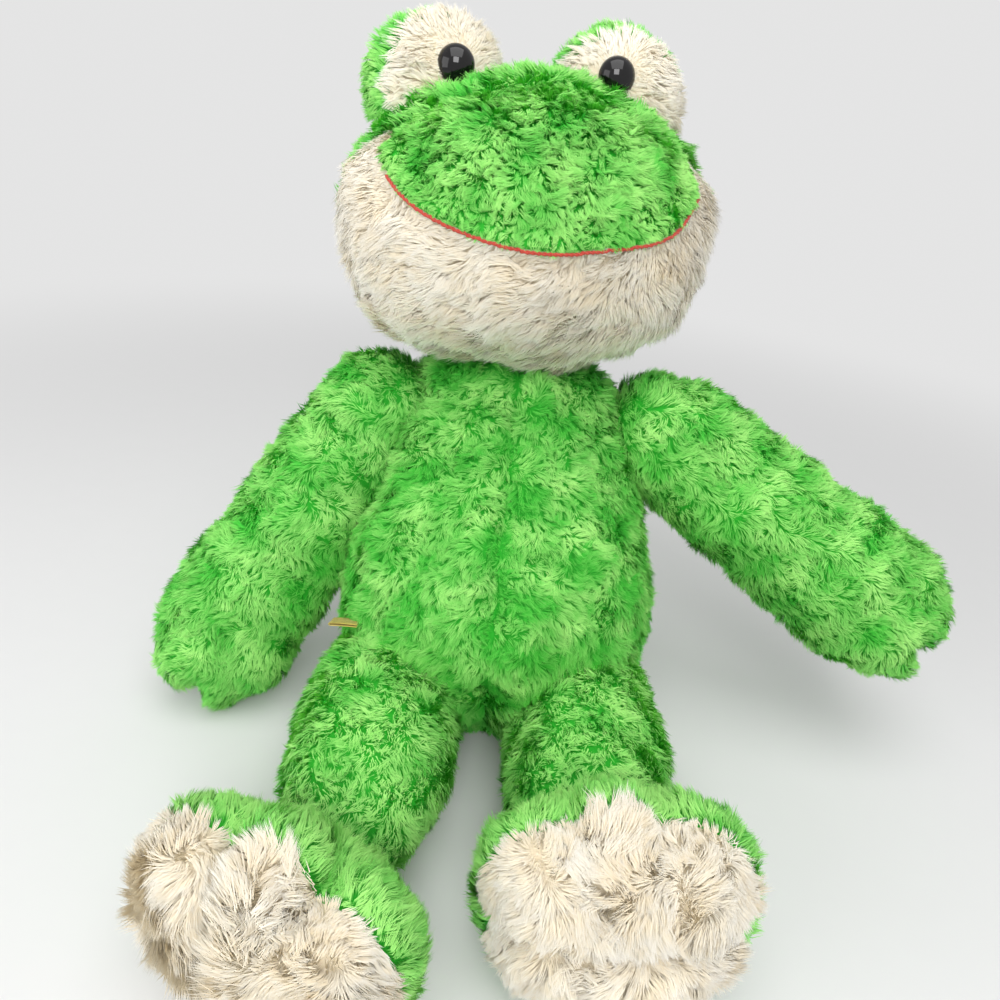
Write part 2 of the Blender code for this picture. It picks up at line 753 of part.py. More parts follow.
def eye_rooms(name, place):
    dome = cylinder(f"eye_room_{name}", place, EYE_RADIUS + GAP, -GAP, EYE_ROOM_DEPTH)
    shank = cylinder(f"shank_room_{name}", place, SHANK_RADIUS + GAP,
                     -SHANK_LENGTH - GAP, GAP)
    back = -WASHER_DEPTH - WASHER_THICKNESS
    washer = cylinder(f"washer_room_{name}", place, WASHER_RADIUS + GAP,
                      back - GAP, -WASHER_DEPTH + GAP)
    return dome, shank, washer


def build_eye(name, place):
    """A domed eye on its shank, turned about +Z."""
    arc = [(math.sin(turn) * EYE_RADIUS, math.cos(turn) * EYE_HEIGHT)
           for turn in (math.pi / 2.0 * step / DOME_STEPS for step in range(DOME_STEPS + 1))]
    profile = arc + [(SHANK_RADIUS, 0.0), (SHANK_RADIUS, -SHANK_LENGTH), (0.0, -SHANK_LENGTH)]
    turned(f"eye_{name}", profile, place, BLACK, 0.08)


def turned(name, profile, place, colour, roughness):
    """A profile of (radius, height) pairs, from top to bottom, turned about the place's +Z."""
    mesh = bpy.data.meshes.new(name)
    points = [(radius, 0.0, height) for radius, height in profile]
    edges = [(index, index + 1) for index in range(len(points) - 1)]
    mesh.from_pydata(points, edges, [])
    obj = link_part(name, mesh, colour, roughness)
    obj.matrix_world = place
    screw = obj.modifiers.new("Turning", "SCREW")
    screw.axis = "Z"
    screw.steps = BAR_SIDES
    screw.render_steps = BAR_SIDES
    screw.use_merge_vertices = True
    screw.merge_threshold = 0.00001
    screw.use_smooth_shade = True
    return obj


def build_washer(name, place):
    bar = cylinder(f"washer_bar_{name}", place, WASHER_RADIUS,
                   -WASHER_DEPTH - WASHER_THICKNESS, -WASHER_DEPTH)
    hole = cylinder(f"washer_hole_{name}", place, SHANK_RADIUS + GAP, -SHANK_LENGTH, EYE_RADIUS)
    obj = link_part(f"eye_washer_{name}", bar.data.copy(), WHITE, 0.5)
    cut(obj, hole)


def build_arm(side, arm_stop):
    """An arm cut to the torso's side where it hangs lowest, then raised to its rest pose."""
    name = SIDES[side]
    shoulder = shoulder_centre(side)
    form, lining, stuffed = nested_forms("arm_form_" + name, *arm_shape(side))
    fitted = less("arm_fitted_" + name, form, arm_stop)
    root = ball("shoulder_ball_" + name, shoulder, SHOULDER_RADIUS)
    outer = joined("arm_whole_" + name, fitted, root)
    opening = shoulder_opening_place(side)
    build_limb("arm_" + name, opening, outer, lining, stuffed, SHOULDER_RADIUS)
    for piece in (f"arm_{name}", f"arm_{name}_filling"):
        obj = bpy.data.objects[piece]
        done = evaluated_mesh(obj)
        obj.modifiers.clear()
        obj.data = done
        set_origin(obj, shoulder)
        obj.matrix_world = obj.matrix_world @ arm_lift(side)


def build_limb(name, place, outer, lining, stuffed, root_radius):
    """A limb's skin, open at its root, and the filling that fills it to the root."""
    deep = 2.0 * root_radius
    opening = cylinder(name + "_opening", place, ROOT_OPENING_RADIUS, -deep, root_radius)
    plug = cylinder(name + "_plug", place, ROOT_OPENING_RADIUS - GAP, -deep, root_radius)
    skin(name, outer, lining, GREEN, opening)
    filling(name + "_filling", joined(name + "_stuffed_to_root", stuffed, plug), outer)


def build_leg(side, floor):
    name = SIDES[side]
    form, lining, stuffed = nested_forms("leg_form_" + name, *leg_shape(side))
    settle(form, lining, stuffed)
    root = ball("hip_ball_" + name, hip_centre(side), HIP_RADIUS)
    end = ball("ankle_ball_" + name, ankle_centre(side), ANKLE_RADIUS)
    whole = joined("leg_whole_" + name, form, root, end)
    outer = less("leg_cut_flat_" + name, whole, floor)
    build_limb("leg_" + name, leg_place(side), outer, lining, stuffed, HIP_RADIUS)


def build_foot(side, floor):
    name = SIDES[side]
    outer, lining, stuffed = nested_forms("foot_form_" + name, *foot_shape(side))
    settle(outer, lining, stuffed)
    ankle = socket("ankle_socket_" + name, ankle_centre(side), ANKLE_RADIUS)
    body = less("foot_body_" + name, outer, ankle, floor)
    place = foot_place(side)
    point = place @ Vector((0.0, 0.0, SOLE_DEPTH))
    slanted = Vector((-math.sin(SOLE_SEAM_TILT[side]), 0.0, math.cos(SOLE_SEAM_TILT[side])))
    upward = place.to_3x3() @ slanted
    upper_side, sole_side = seam_pair("sole_seam_" + name, point, upward)
    skin(f"foot_{name}_sole", body, lining, CREAM, upper_side)
    skin(f"foot_{name}_upper", body, lining, GREEN, sole_side)
    filling(f"foot_{name}_filling", stuffed, body)


def place_origins():
    """Each moving piece turns about its own origin, and the eyes ride on the head."""
    eyes = [bpy.data.objects["eye_" + name] for name in SIDES.values()]
    for obj in PARTS.objects:
        if obj.name.startswith(("head", "eye", "mouth", "neck")) and obj not in eyes:
            set_origin(obj, neck_centre())
        for side, name in SIDES.items():
            if obj.name.startswith("leg_" + name):
                set_origin(obj, hip_centre(side))
            if obj.name.startswith("foot_" + name):
                set_origin(obj, ankle_centre(side))
    head = bpy.data.objects["head_back"]
    for eye in eyes:
        eye.parent = head
        eye.matrix_parent_inverse = Matrix.Translation(-neck_centre())


def main():
    floor = half_space("floor", Vector((0.0, 0.0, 0.0)), Vector((0.0, 0.0, -1.0)))
    arm_stop = build_torso(floor)
    build_neck()
    build_head()
    for side in SIDES:
        build_arm(side, arm_stop)
        build_leg(side, floor)
        build_foot(side, floor)
    place_origins()


clear_scene()
PARTS = new_collection("Plush frog")
CUTTERS = new_collection("Cutters")
main()
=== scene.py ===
import math

import bpy
import numpy as np
from mathutils import Matrix, Vector
from mathutils.bvhtree import BVHTree


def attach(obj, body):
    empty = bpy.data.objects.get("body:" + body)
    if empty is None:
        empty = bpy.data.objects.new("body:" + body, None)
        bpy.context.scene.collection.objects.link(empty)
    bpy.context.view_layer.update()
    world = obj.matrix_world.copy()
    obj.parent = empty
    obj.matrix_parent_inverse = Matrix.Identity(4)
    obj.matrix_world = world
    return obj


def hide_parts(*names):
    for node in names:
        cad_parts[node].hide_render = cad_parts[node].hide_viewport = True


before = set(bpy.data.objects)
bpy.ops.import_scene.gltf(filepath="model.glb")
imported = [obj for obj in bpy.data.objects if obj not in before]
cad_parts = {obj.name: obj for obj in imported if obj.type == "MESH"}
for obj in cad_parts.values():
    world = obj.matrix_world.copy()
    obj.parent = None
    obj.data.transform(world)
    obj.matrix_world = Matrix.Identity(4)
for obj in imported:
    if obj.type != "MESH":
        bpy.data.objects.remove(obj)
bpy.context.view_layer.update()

bl_info = {
    "name": "Plush frog",
    "version": (1, 0, 0),
    "blender": (4, 5, 0),
    "location": "View3D > Sidebar > Plush frog",
    "description": "Dresses a sitting plush frog in its pile, eyes, mouth line and label",
    "category": "Object",
}

# Places and sizes of the forms, in metres, as the solids have them
HIP_HEIGHT = 0.037
HIP_FORWARD = 0.018
TORSO_LEAN = math.radians(20)
TORSO_SIZE = (0.207, 0.083, 0.066)
TORSO_BELOW_HIP = 0.0375
NECK_RISE = 0.184
NECK_BACK = 0.0045
NECK_RADIUS = 0.027
HEAD_SIZE = (0.131, 0.087, 0.075)
HEAD_BELOW_CENTRE = 0.065
HEAD_TILT = math.radians(8)
HEAD_TURN = math.radians(7)
HEAD_ROLL = math.radians(2.5)
HEAD_FROM_NECK = (-0.0045, -0.012, 0.052)
MOUTH_SEAM = (0.0, -0.080, -0.008)
MOUTH_SLOPE = math.radians(38)
BACK_SEAM = (0.0, -0.016, 0.0)
BACK_SEAM_SLOPE = math.radians(25)
MOUTH_ROLL = math.radians(2)
MOUTH_CORNER_FORWARD = {-1: 0.0545, 1: 0.0490}
BULGE_AT = (0.0415, 0.008, 0.054)
BULGE_ASIDE = 0.003
BULGE_TURN = math.radians(8)
BULGE_SIZE = (0.050, 0.034, 0.034)
BULGE_SEAM_DEPTH = 0.018
BULGE_SEAM_TURN = {-1: math.radians(22), 1: math.radians(8)}
BULGE_SEAM_TILT = {-1: math.radians(2), 1: math.radians(13)}
EYE_RADIUS = 0.0083
EYE_HEIGHT = 0.0062
SHANK_RADIUS = 0.0022
SHANK_LENGTH = 0.0095
SHOULDER_OUT = 0.064
SHOULDER_RISE = 0.146
ARM_SIZE = (0.222, 0.041, 0.031)
ARM_ABOVE = 0.020
ARM_LOWEST = math.radians(30)
ARM_RAISED = {-1: math.radians(0), 1: math.radians(28)}
HIP_OUT = 0.050
LEG_SIZE = (0.154, 0.0395, 0.0395)
LEG_BEHIND_HIP = 0.027
ANKLE_REACH = 0.112
ANKLE_FILL = {-1: 0.0110, 1: 0.0020}
ANKLE_FILL_REACH = 0.024
FOOT_SIZE = (0.054, 0.057, 0.0505)
FOOT_FORWARD = {-1: 0.0680, 1: 0.0545}
FOOT_OUT = {-1: 0.0230, 1: 0.0070}
FOOT_RISE = 0.019
FOOT_LEAN = {-1: math.radians(-6), 1: math.radians(10)}
FOOT_ROLL = {-1: math.radians(6), 1: math.radians(-12)}
FOOT_YAW = {-1: math.radians(16), 1: math.radians(0)}
SOLE_SEAM_TILT = {-1: math.radians(6), 1: math.radians(0)}
SOLE_DEPTH = 0.023
LABEL_FOLD_RADIUS = 0.0006
LABEL_SEWN_IN = 0.005
SIT_DEPTH = 0.0005
SIDES = {-1: "right", 1: "left"}

# Seams and folds that show in the plush, in metres along the skin or into it
CENTRE_CREASE = 0.0042
COLLAR_RISE = 0.0050
CHIN_FILL = 0.0040
EYE_HOLLOW = 0.0050
EYE_HOLLOW_REACH = 0.017
MOUTH_RIDGE = 0.0030
FINGER_LENGTH = 0.0055
FINGER_FOLD = 0.0095
FINGER_FOLD_AT = 0.007
TOE_FOLDS = (62.0, 118.0)
TOE_FOLD_DEPTH = 0.0085
SOLE_PAD = 0.0035
SOLE_FOLD_DEPTH = {-1: 0.0085, 1: 0.0150}
SOLE_FOLD_WIDTH = 0.0055

# The pile. A closed cut's corners lie up to 0.1 mm off its plane, and a moving joint shows
# pile that at rest lies this deep in the piece beside it
CUT_SLACK = 0.00015
JOINT_PILE = 0.020
BLADE_BURIED = 0.0005
LOWEST_PILE = 0.0002
CARD_WIDTH = 0.010
CARD_ROOT, CARD_MIDDLE, CARD_TIP = 0.10, 0.52, 0.95

# The stage
LAMPS = (
    ("key_lamp", (0.10, -1.25, 1.00), 0.6, "key_power"),
    ("fill_lamp", (-1.10, -0.80, 0.55), 1.0, "fill_power"),
    ("top_lamp", (0.05, -0.45, 1.45), 1.2, "top_power"),
)
LAMPS_AIM = (0.0, 0.0, 0.15)
CAMERA_AT = (-0.003, -0.342, 0.314)
CAMERA_TILT = math.radians(62.0)
CAMERA_ROLL = math.radians(6.0)
CAMERA_LENS = 27.36

# Rings of each form: share of its length, of its half width, of its half depth, and its forward shift
TORSO_RINGS = (
    (0.030, 0.50, 0.46, -0.10),
    (0.130, 0.87, 0.80, -0.05),
    (0.285, 1.00, 0.98, 0.03),
    (0.450, 0.99, 0.98, 0.05),
    (0.620, 0.88, 0.82, 0.02),
    (0.770, 0.78, 0.68, -0.02),
    (0.900, 0.68, 0.56, -0.06),
    (0.975, 0.46, 0.42, -0.06),
)
HEAD_RINGS = (
    (0.050, 0.46, 0.42, 0.12),
    (0.180, 0.82, 0.76, 0.17),
    (0.360, 0.99, 0.96, 0.18),
    (0.550, 1.00, 0.98, 0.14),
    (0.730, 0.89, 0.89, 0.07),
    (0.880, 0.66, 0.67, 0.00),
    (0.970, 0.36, 0.37, -0.05),
)
ARM_RINGS = (
    (0.030, 0.52, 0.68, 0.00),
    (0.120, 0.78, 0.98, 0.00),
    (0.360, 0.82, 0.98, 0.00),
    (0.600, 0.90, 0.98, 0.00),
    (0.790, 1.00, 1.00, 0.00),
    (0.920, 0.84, 0.80, 0.00),
    (0.983, 0.48, 0.45, 0.00),
)
LEG_RINGS = (
    (0.040, 0.50, 0.50, 0.00),
    (0.160, 0.86, 0.86, 0.00),
    (0.320, 0.97, 0.97, 0.00),
    (0.500, 1.00, 1.00, 0.00),
    (0.680, 1.00, 1.00, 0.00),
    (0.830, 0.84, 0.84, 0.00),
    (0.950, 0.50, 0.50, 0.00),
)
FOOT_RINGS = (
    (0.090, 0.64, 0.64, 0.00),
    (0.350, 1.00, 1.00, 0.00),
    (0.680, 0.96, 0.96, 0.00),
    (0.930, 0.58, 0.58, 0.00),
)
FOOT_OUTLINE = (
    1.00, 1.04, 1.14, 1.00, 1.16, 1.00, 1.14, 1.04,
    1.00, 0.97, 0.96, 0.95, 0.94, 0.95, 0.96, 0.97,
)
BULGE_RINGS = (
    (0.080, 0.58, 0.58, 0.00),
    (0.320, 0.96, 0.96, 0.00),
    (0.650, 1.00, 1.00, 0.00),
    (0.920, 0.74, 0.74, 0.00),
)
BALL_RINGS = (
    (0.146, 0.71, 0.71, 0.00),
    (0.500, 1.00, 1.00, 0.00),
    (0.854, 0.71, 0.71, 0.00),
)
PELLET_RINGS = (
    (0.120, 0.66, 0.66, 0.00),
    (0.500, 1.00, 1.00, 0.00),
    (0.880, 0.66, 0.66, 0.00),
)


# Places of the forms

def torso_place():
    """The middle of the hips, with +Z up the leaning torso."""
    hips = Matrix.Translation((0.0, -HIP_FORWARD, HIP_HEIGHT))
    return hips @ Matrix.Rotation(-TORSO_LEAN, 4, "X")


def neck_centre():
    return torso_place() @ Vector((0.0, NECK_BACK, NECK_RISE))


def head_place():
    """The middle of the head, tilted back and turned."""
    turn = Matrix.Rotation(-HEAD_TILT, 4, "X") @ Matrix.Rotation(HEAD_TURN, 4, "Z")
    turn = turn @ Matrix.Rotation(-HEAD_ROLL, 4, "Y")
    return Matrix.Translation(neck_centre()) @ turn @ Matrix.Translation(HEAD_FROM_NECK)


def bulge_place(side):
    out, back, rise = BULGE_AT
    local = Matrix.Translation((side * out - BULGE_ASIDE, back, rise))
    return head_place() @ local @ Matrix.Rotation(-side * BULGE_TURN, 4, "Z")


def shoulder_place(side):
    return torso_place() @ Matrix.Translation((side * SHOULDER_OUT, 0.0, SHOULDER_RISE))


def arm_place(side):
    """+Z runs down the arm, raised to its rest pose."""
    hang = Matrix.Rotation(side * (math.pi - ARM_LOWEST - ARM_RAISED[side]), 4, "Y")
    return shoulder_place(side) @ hang


def hip_centre(side):
    return Vector((side * HIP_OUT, -HIP_FORWARD, HIP_HEIGHT))


def leg_place(side):
    return Matrix.Translation(hip_centre(side)) @ Matrix.Rotation(math.pi / 2.0, 4, "X")


def foot_place(side):
    """+Z runs from the sole to the upper, +Y to the toes."""
    ankle = hip_centre(side) + Vector((0.0, -ANKLE_REACH, 0.0))
    lean = Matrix.Rotation(-FOOT_LEAN[side], 4, "X")
    middle = Matrix.Translation((side * FOOT_OUT[side], -FOOT_FORWARD[side], FOOT_RISE))
    yaw = Matrix.Rotation(side * FOOT_YAW[side], 4, "Z")
    roll = Matrix.Rotation(FOOT_ROLL[side], 4, "Y")
    stand = Matrix.Rotation(-math.pi / 2.0, 4, "X") @ Matrix.Rotation(math.pi, 4, "Z")
    return Matrix.Translation(ankle) @ lean @ middle @ yaw @ roll @ stand


def way(place, x, y, z):
    """A direction given in a place's own axes, as a numpy vector."""
    return np.array((place.to_3x3() @ Vector((x, y, z))).normalized())


# Numbers over many points at once

def wander(points, wavelength, seed, waves=12):
    """Smooth, repeatable noise with a spread of about one, at each point."""
    chance = np.random.default_rng(seed)
    ways = chance.normal(size=(waves, 3))
    ways /= np.linalg.norm(ways, axis=1)[:, None]
    turns = 2.0 * math.pi / (wavelength * chance.uniform(0.7, 1.4, waves))
    starts = chance.uniform(0.0, 2.0 * math.pi, waves)
    return np.sin(points @ (ways * turns[:, None]).T + starts).sum(axis=1) / math.sqrt(waves / 2.0)


def unit(vectors):
    return vectors / np.maximum(np.linalg.norm(vectors, axis=1), 1e-9)[:, None]


def smooth(value, low, high):
    """0 below low, 1 above high and an even rise between."""
    share = np.clip((value - low) / (high - low), 0.0, 1.0)
    return share * share * (3.0 - 2.0 * share)


def hill(value):
    """1 where value is 0, falling to 0 on both sides."""
    return np.exp(-value ** 2)


def away_from(points, at):
    """How far points lie from one point."""
    return np.linalg.norm(points - np.array(at), axis=1)


def along_skin(vectors, normals):
    """The vectors laid flat on the skin."""
    flat = vectors - normals * (vectors * normals).sum(axis=1)[:, None]
    return unit(flat + 1e-7)


def local(points, place):
    """Points in a place's own axes."""
    back = np.array(place.inverted())
    return points @ back[:3, :3].T + back[:3, 3]


def axes_of(place):
    """A place's own axes, to multiply rows of directions by."""
    return np.array(place.to_3x3()).T


def ways_of(place, x, y, z):
    """Rows of directions, given as columns in a place's own axes."""
    return np.stack([x, y, z], axis=1) @ axes_of(place)


def steady(direction):
    """A comb that points one way all over."""
    return lambda points: direction + 0.0 * points


# Modelling

def nothing_selected():
    if bpy.context.object and bpy.context.object.mode != "OBJECT":
        bpy.ops.object.mode_set(mode="OBJECT")
    bpy.ops.object.select_all(action="DESELECT")


def made(name):
    """The primitive just added, named."""
    obj = bpy.context.object
    obj.name = name
    obj.data.name = name
    return obj


def make_active(obj):
    nothing_selected()
    obj.select_set(True)
    bpy.context.view_layer.objects.active = obj


def finish_modifier(obj, kind, **settings):
    """Adds a modifier and applies it."""
    make_active(obj)
    modifier = obj.modifiers.new(kind.title(), kind)
    for key, value in settings.items():
        setattr(modifier, key, value)
    bpy.ops.object.modifier_apply(modifier=modifier.name)


def corners(mesh):
    points = np.empty(len(mesh.vertices) * 3)
    mesh.vertices.foreach_get("co", points)
    return points.reshape(-1, 3)


def set_corners(mesh, points):
    mesh.vertices.foreach_set("co", points.ravel())
    mesh.update()


def point_normals(mesh):
    normals = np.empty(len(mesh.vertices) * 3)
    mesh.vertices.foreach_get("normal", normals)
    return normals.reshape(-1, 3)


def ring_point(co, ring, size, outline, inset):
    length, half_width, half_depth = size
    along, width, depth, forward = ring
    turn = math.atan2(co.y, co.x) % (2.0 * math.pi)
    swell = outline[round(turn * len(outline) / (2.0 * math.pi)) % len(outline)]
    x = math.cos(turn) * swell * width * (half_width - inset)
    y = math.sin(turn) * swell * depth * (half_depth - inset)
    return Vector((x, y - forward * half_depth, inset + along * (length - 2.0 * inset)))


def stuffed_form(name, place, size, rings, outline, inset, levels=3):
    """A UV sphere whose rings are moved to a form's stations, then rounded and put in place."""
    widen = 4.0 / (3.0 + math.cos(2.0 * math.pi / len(outline)))
    wide = [share * widen for share in outline]
    nothing_selected()
    bpy.ops.mesh.primitive_uv_sphere_add(segments=len(outline), ring_count=len(rings) + 1,
                                         radius=1.0, location=(0.0, 0.0, 0.0))
    form = made(name)
    for vert in form.data.vertices:
        polar = math.acos(max(-1.0, min(1.0, -vert.co.z)))
        index = round(polar * (len(rings) + 1) / math.pi)
        if index == 0:
            vert.co = (0.0, 0.0, inset)
        elif index == len(rings) + 1:
            vert.co = (0.0, 0.0, size[0] - inset)
        else:
            vert.co = ring_point(vert.co, rings[index - 1], size, wide, inset)
    form.data.transform(place)
    finish_modifier(form, "SUBSURF", levels=levels, render_levels=levels)
    return form


def settled(form, place, size, rings, outline):
    """Lowers a form as far as its full one, without pile, has to come down to sit."""
    full = stuffed_form("full_form", place, size, rings, outline, 0.0, levels=1)
    shift = -SIT_DEPTH - corners(full.data)[:, 2].min()
    bpy.data.objects.remove(full)
    form.data.transform(Matrix.Translation((0.0, 0.0, shift)))
    return form


def push(form, shift):
    """Moves each point along its normal by shift(points), as a hand presses a stuffed toy."""
    points = corners(form.data)
    set_corners(form.data, points + point_normals(form.data) * shift(points)[:, None])


def knead(form, amount, wavelength, seed):
    """Soft lumps of the stuffing, pushed along the skin's normals."""
    push(form, lambda points: wander(points, wavelength, seed) * amount)


def copy_of(form, name):
    """A copy with its own mesh."""
    obj = bpy.data.objects.new(name, form.data.copy())
    obj.data.name = name
    bpy.context.scene.collection.objects.link(obj)
    return obj


def panel_of(form, name, *cuts):
    """A copy of a form, cut back to the inner side of each seam's plane and closed there."""
    piece = copy_of(form, name)
    for point, outward in cuts:
        make_active(piece)
        bpy.ops.object.mode_set(mode="EDIT")
        bpy.ops.mesh.select_all(action="SELECT")
        bpy.ops.mesh.bisect(plane_co=point, plane_no=outward, use_fill=True,
                            clear_inner=False, clear_outer=True)
        bpy.ops.object.mode_set(mode="OBJECT")
    return piece


def surface(form):
    points = [vert.co.copy() for vert in form.data.vertices]
    faces = [tuple(face.vertices) for face in form.data.polygons]
    return BVHTree.FromPolygons(points, faces)


def buried(points, neighbours, depth):
    """Which points lie deeper than depth inside a neighbouring form."""
    deep = np.zeros(len(points), bool)
    for tree in neighbours:
        for index, co in enumerate(points):
            if deep[index]:
                continue
            at, normal, _, far = tree.find_nearest(Vector(co))
            deep[index] = far > depth and (Vector(co) - at).dot(normal) < 0.0
    return deep


# The pile: every tuft of plush is a thin bent blade of two triangles

class Pile:
    """How the pile of one panel grows: its comb, length, lean, waves, tone and spread of locks."""

    def __init__(self, comb, length=0.0072, lean=(26.0, 62.0), swirl=(45.0, 26.0), clump=0.0030,
                 gather=0.38, ruffle=24.0, density=1.95, width=0.00044, tone=None, seed=1,
                 shorter=None):
        self.comb = comb
        self.length = length
        self.lean = lean
        self.swirl = swirl
        self.clump = clump
        self.gather = gather
        self.ruffle = ruffle
        self.density = density
        self.width = width
        self.tone = tone
        self.seed = seed
        self.shorter = shorter


def skin_of(piece, cuts):
    """The piece's outer triangles, and its corner normals without the closed cuts."""
    mesh = piece.data
    points = corners(mesh)
    mesh.calc_loop_triangles()
    triangles = np.empty(len(mesh.loop_triangles) * 3, np.int64)
    mesh.loop_triangles.foreach_get("vertices", triangles)
    triangles = triangles.reshape(-1, 3)
    middle = points[triangles].mean(axis=1)
    facing = np.cross(points[triangles[:, 1]] - points[triangles[:, 0]],
                      points[triangles[:, 2]] - points[triangles[:, 0]])
    outer = np.ones(len(triangles), bool)
    for point, outward in cuts:
        height = (middle - np.array(point)) @ np.array(outward)
        outer &= ~((np.abs(height) < CUT_SLACK) & (unit(facing) @ np.array(outward) > 0.99))
    normals = np.zeros_like(points)
    for corner in range(3):
        np.add.at(normals, triangles[outer][:, corner], facing[outer])
    return points, triangles[outer], unit(normals)


def scatter(points, triangles, normals, density, chance):
    """Even random roots over the triangles, with the skin's normal at each."""
    first, second, third = (points[triangles[:, corner]] for corner in range(3))
    areas = np.linalg.norm(np.cross(second - first, third - first), axis=1) / 2.0
    count = int(areas.sum() * 1e6 * density)
    chosen = chance.choice(len(triangles), count, p=areas / areas.sum())
    along = np.sqrt(chance.random(count))
    across = chance.random(count)
    shares = np.stack([1.0 - along, along * (1.0 - across), along * across], axis=1)
    roots = sum(points[triangles[chosen, corner]] * shares[:, corner, None] for corner in range(3))
    facing = sum(normals[triangles[chosen, corner]] * shares[:, corner, None] for corner in range(3))
    return roots, unit(facing)


def locks_of(roots, clump, seed):
    """Which lock of pile each blade belongs to."""
    warp = np.stack([wander(roots, 0.009, seed + axis) for axis in range(3)], axis=1)
    cells = np.floor((roots + warp * clump * 0.45) / clump).astype(np.int64)
    keys = (cells[:, 0] * 73856093) ^ (cells[:, 1] * 19349663) ^ (cells[:, 2] * 83492791)
    return np.unique(keys, return_inverse=True)[1]


def gathered(tips, lock, gather):
    """The tips drawn together in their locks."""
    count = np.bincount(lock)
    middle = np.stack([np.bincount(lock, tips[:, axis]) / count for axis in range(3)], axis=1)
    return tips + (middle[lock] - tips) * gather


def blades(roots, normals, pile, chance):
    """Root, middle and tip of each blade, its side, and its tone from 0 to 1."""
    comb = along_skin(pile.comb(roots), normals)
    wide, fine = pile.swirl
    lock = locks_of(roots, pile.clump, pile.seed + 20)
    locks = lock.max() + 1
    turn = wander(roots, 0.024, pile.seed) * wide + wander(roots, 0.008, pile.seed + 9) * fine
    turn = np.radians(turn + chance.normal(0.0, pile.ruffle, locks)[lock])
    across = np.cross(normals, comb)
    comb = comb * np.cos(turn)[:, None] + across * np.sin(turn)[:, None]
    length = pile.length * chance.uniform(0.78, 1.12, len(roots))
    length *= 1.0 + 0.10 * wander(roots, 0.016, pile.seed + 5) + chance.normal(0.0, 0.09, locks)[lock]
    if pile.shorter:
        length *= pile.shorter(roots)
    flatter = wander(roots, 0.018, pile.seed + 3) * 7.0
    flatter = flatter + chance.normal(0.0, pile.ruffle * 0.3, locks)[lock]
    low = np.radians(pile.lean[0] + flatter + chance.normal(0.0, 6.0, len(roots)))
    high = np.radians(pile.lean[1] + flatter + chance.normal(0.0, 9.0, len(roots)))
    stray = chance.normal(0.0, 0.10, (len(roots), 3))
    rise = unit(normals * np.cos(low)[:, None] + comb * np.sin(low)[:, None] + stray * 0.6)
    fall = unit(normals * np.cos(high)[:, None] + comb * np.sin(high)[:, None] + stray)
    base = roots - normals * BLADE_BURIED
    middle = base + rise * (length * 0.50)[:, None]
    tip = middle + fall * (length * 0.58)[:, None]
    tip = gathered(tip, lock, pile.gather)
    middle = gathered(middle, lock, pile.gather * 0.4)
    side = unit(np.cross(fall, normals))
    twist = chance.normal(0.0, 0.45, len(roots))
    flat = np.cross(side, fall)
    side = side * np.cos(twist)[:, None] + flat * np.sin(twist)[:, None]
    tone = 0.5 + 0.20 * wander(roots, 0.026, pile.seed + 7) + 0.09 * wander(roots, 0.008, pile.seed + 8)
    tone += chance.normal(0.0, 0.08, locks)[lock] + chance.normal(0.0, 0.07, len(roots))
    if pile.tone:
        tone += pile.tone(roots)
    return base, middle, tip, side, np.clip(tone, 0.0, 1.0)


def blade_mesh(roots, normals, pile, chance):
    """Corner points, corner normals, faces' corners and their places on the colour card."""
    base, middle, tip, side, tone = blades(roots, normals, pile, chance)
    half = side * (pile.width * chance.uniform(0.7, 1.3, len(roots)) / 2.0)[:, None]
    points = np.stack([base, middle + half, middle - half, tip], axis=1)
    lowest = LOWEST_PILE + 0.0003 * chance.random((len(roots), 1))
    points[..., 2] = np.maximum(points[..., 2], lowest)
    own = unit(np.cross(side, tip - base))
    soft = unit(normals * 0.84 + own * 0.16)
    facing = np.stack([soft, soft, soft, unit(soft + (tip - base) * 30.0)], axis=1)
    first = np.arange(len(roots))[:, None] * 4
    loops = (first + np.array([0, 1, 2, 2, 1, 3])).ravel()
    starts = (np.arange(len(roots))[:, None] * 6 + np.array([0, 3])).ravel()
    across = 0.06 + 0.88 * tone
    left, right = (across - CARD_WIDTH, CARD_MIDDLE), (across + CARD_WIDTH, CARD_MIDDLE)
    card = np.empty((len(roots), 6, 2))
    for corner, (u, v) in enumerate(((across, CARD_ROOT), right, left,
                                     left, right, (across, CARD_TIP))):
        card[:, corner, 0] = u
        card[:, corner, 1] = v
    return points.reshape(-1, 3), facing.reshape(-1, 3), loops, starts, card.reshape(-1, 2)


def base_card(mesh):
    """Each face of the backing gets a small patch of the colour card, where the roots' colours are."""
    # The backing takes the card's darkest root colour: partly the pile's own darker base, partly
    # painted shade under the pile.
    card = np.empty((len(mesh.loops), 2))
    for face in mesh.polygons:
        count = face.loop_total
        turns = np.arange(count) * (2.0 * math.pi / count)
        card[face.loop_start:face.loop_start + count, 0] = 0.5 + 0.02 * np.cos(turns)
        card[face.loop_start:face.loop_start + count, 1] = 0.035 + 0.025 * np.sin(turns)
    return card


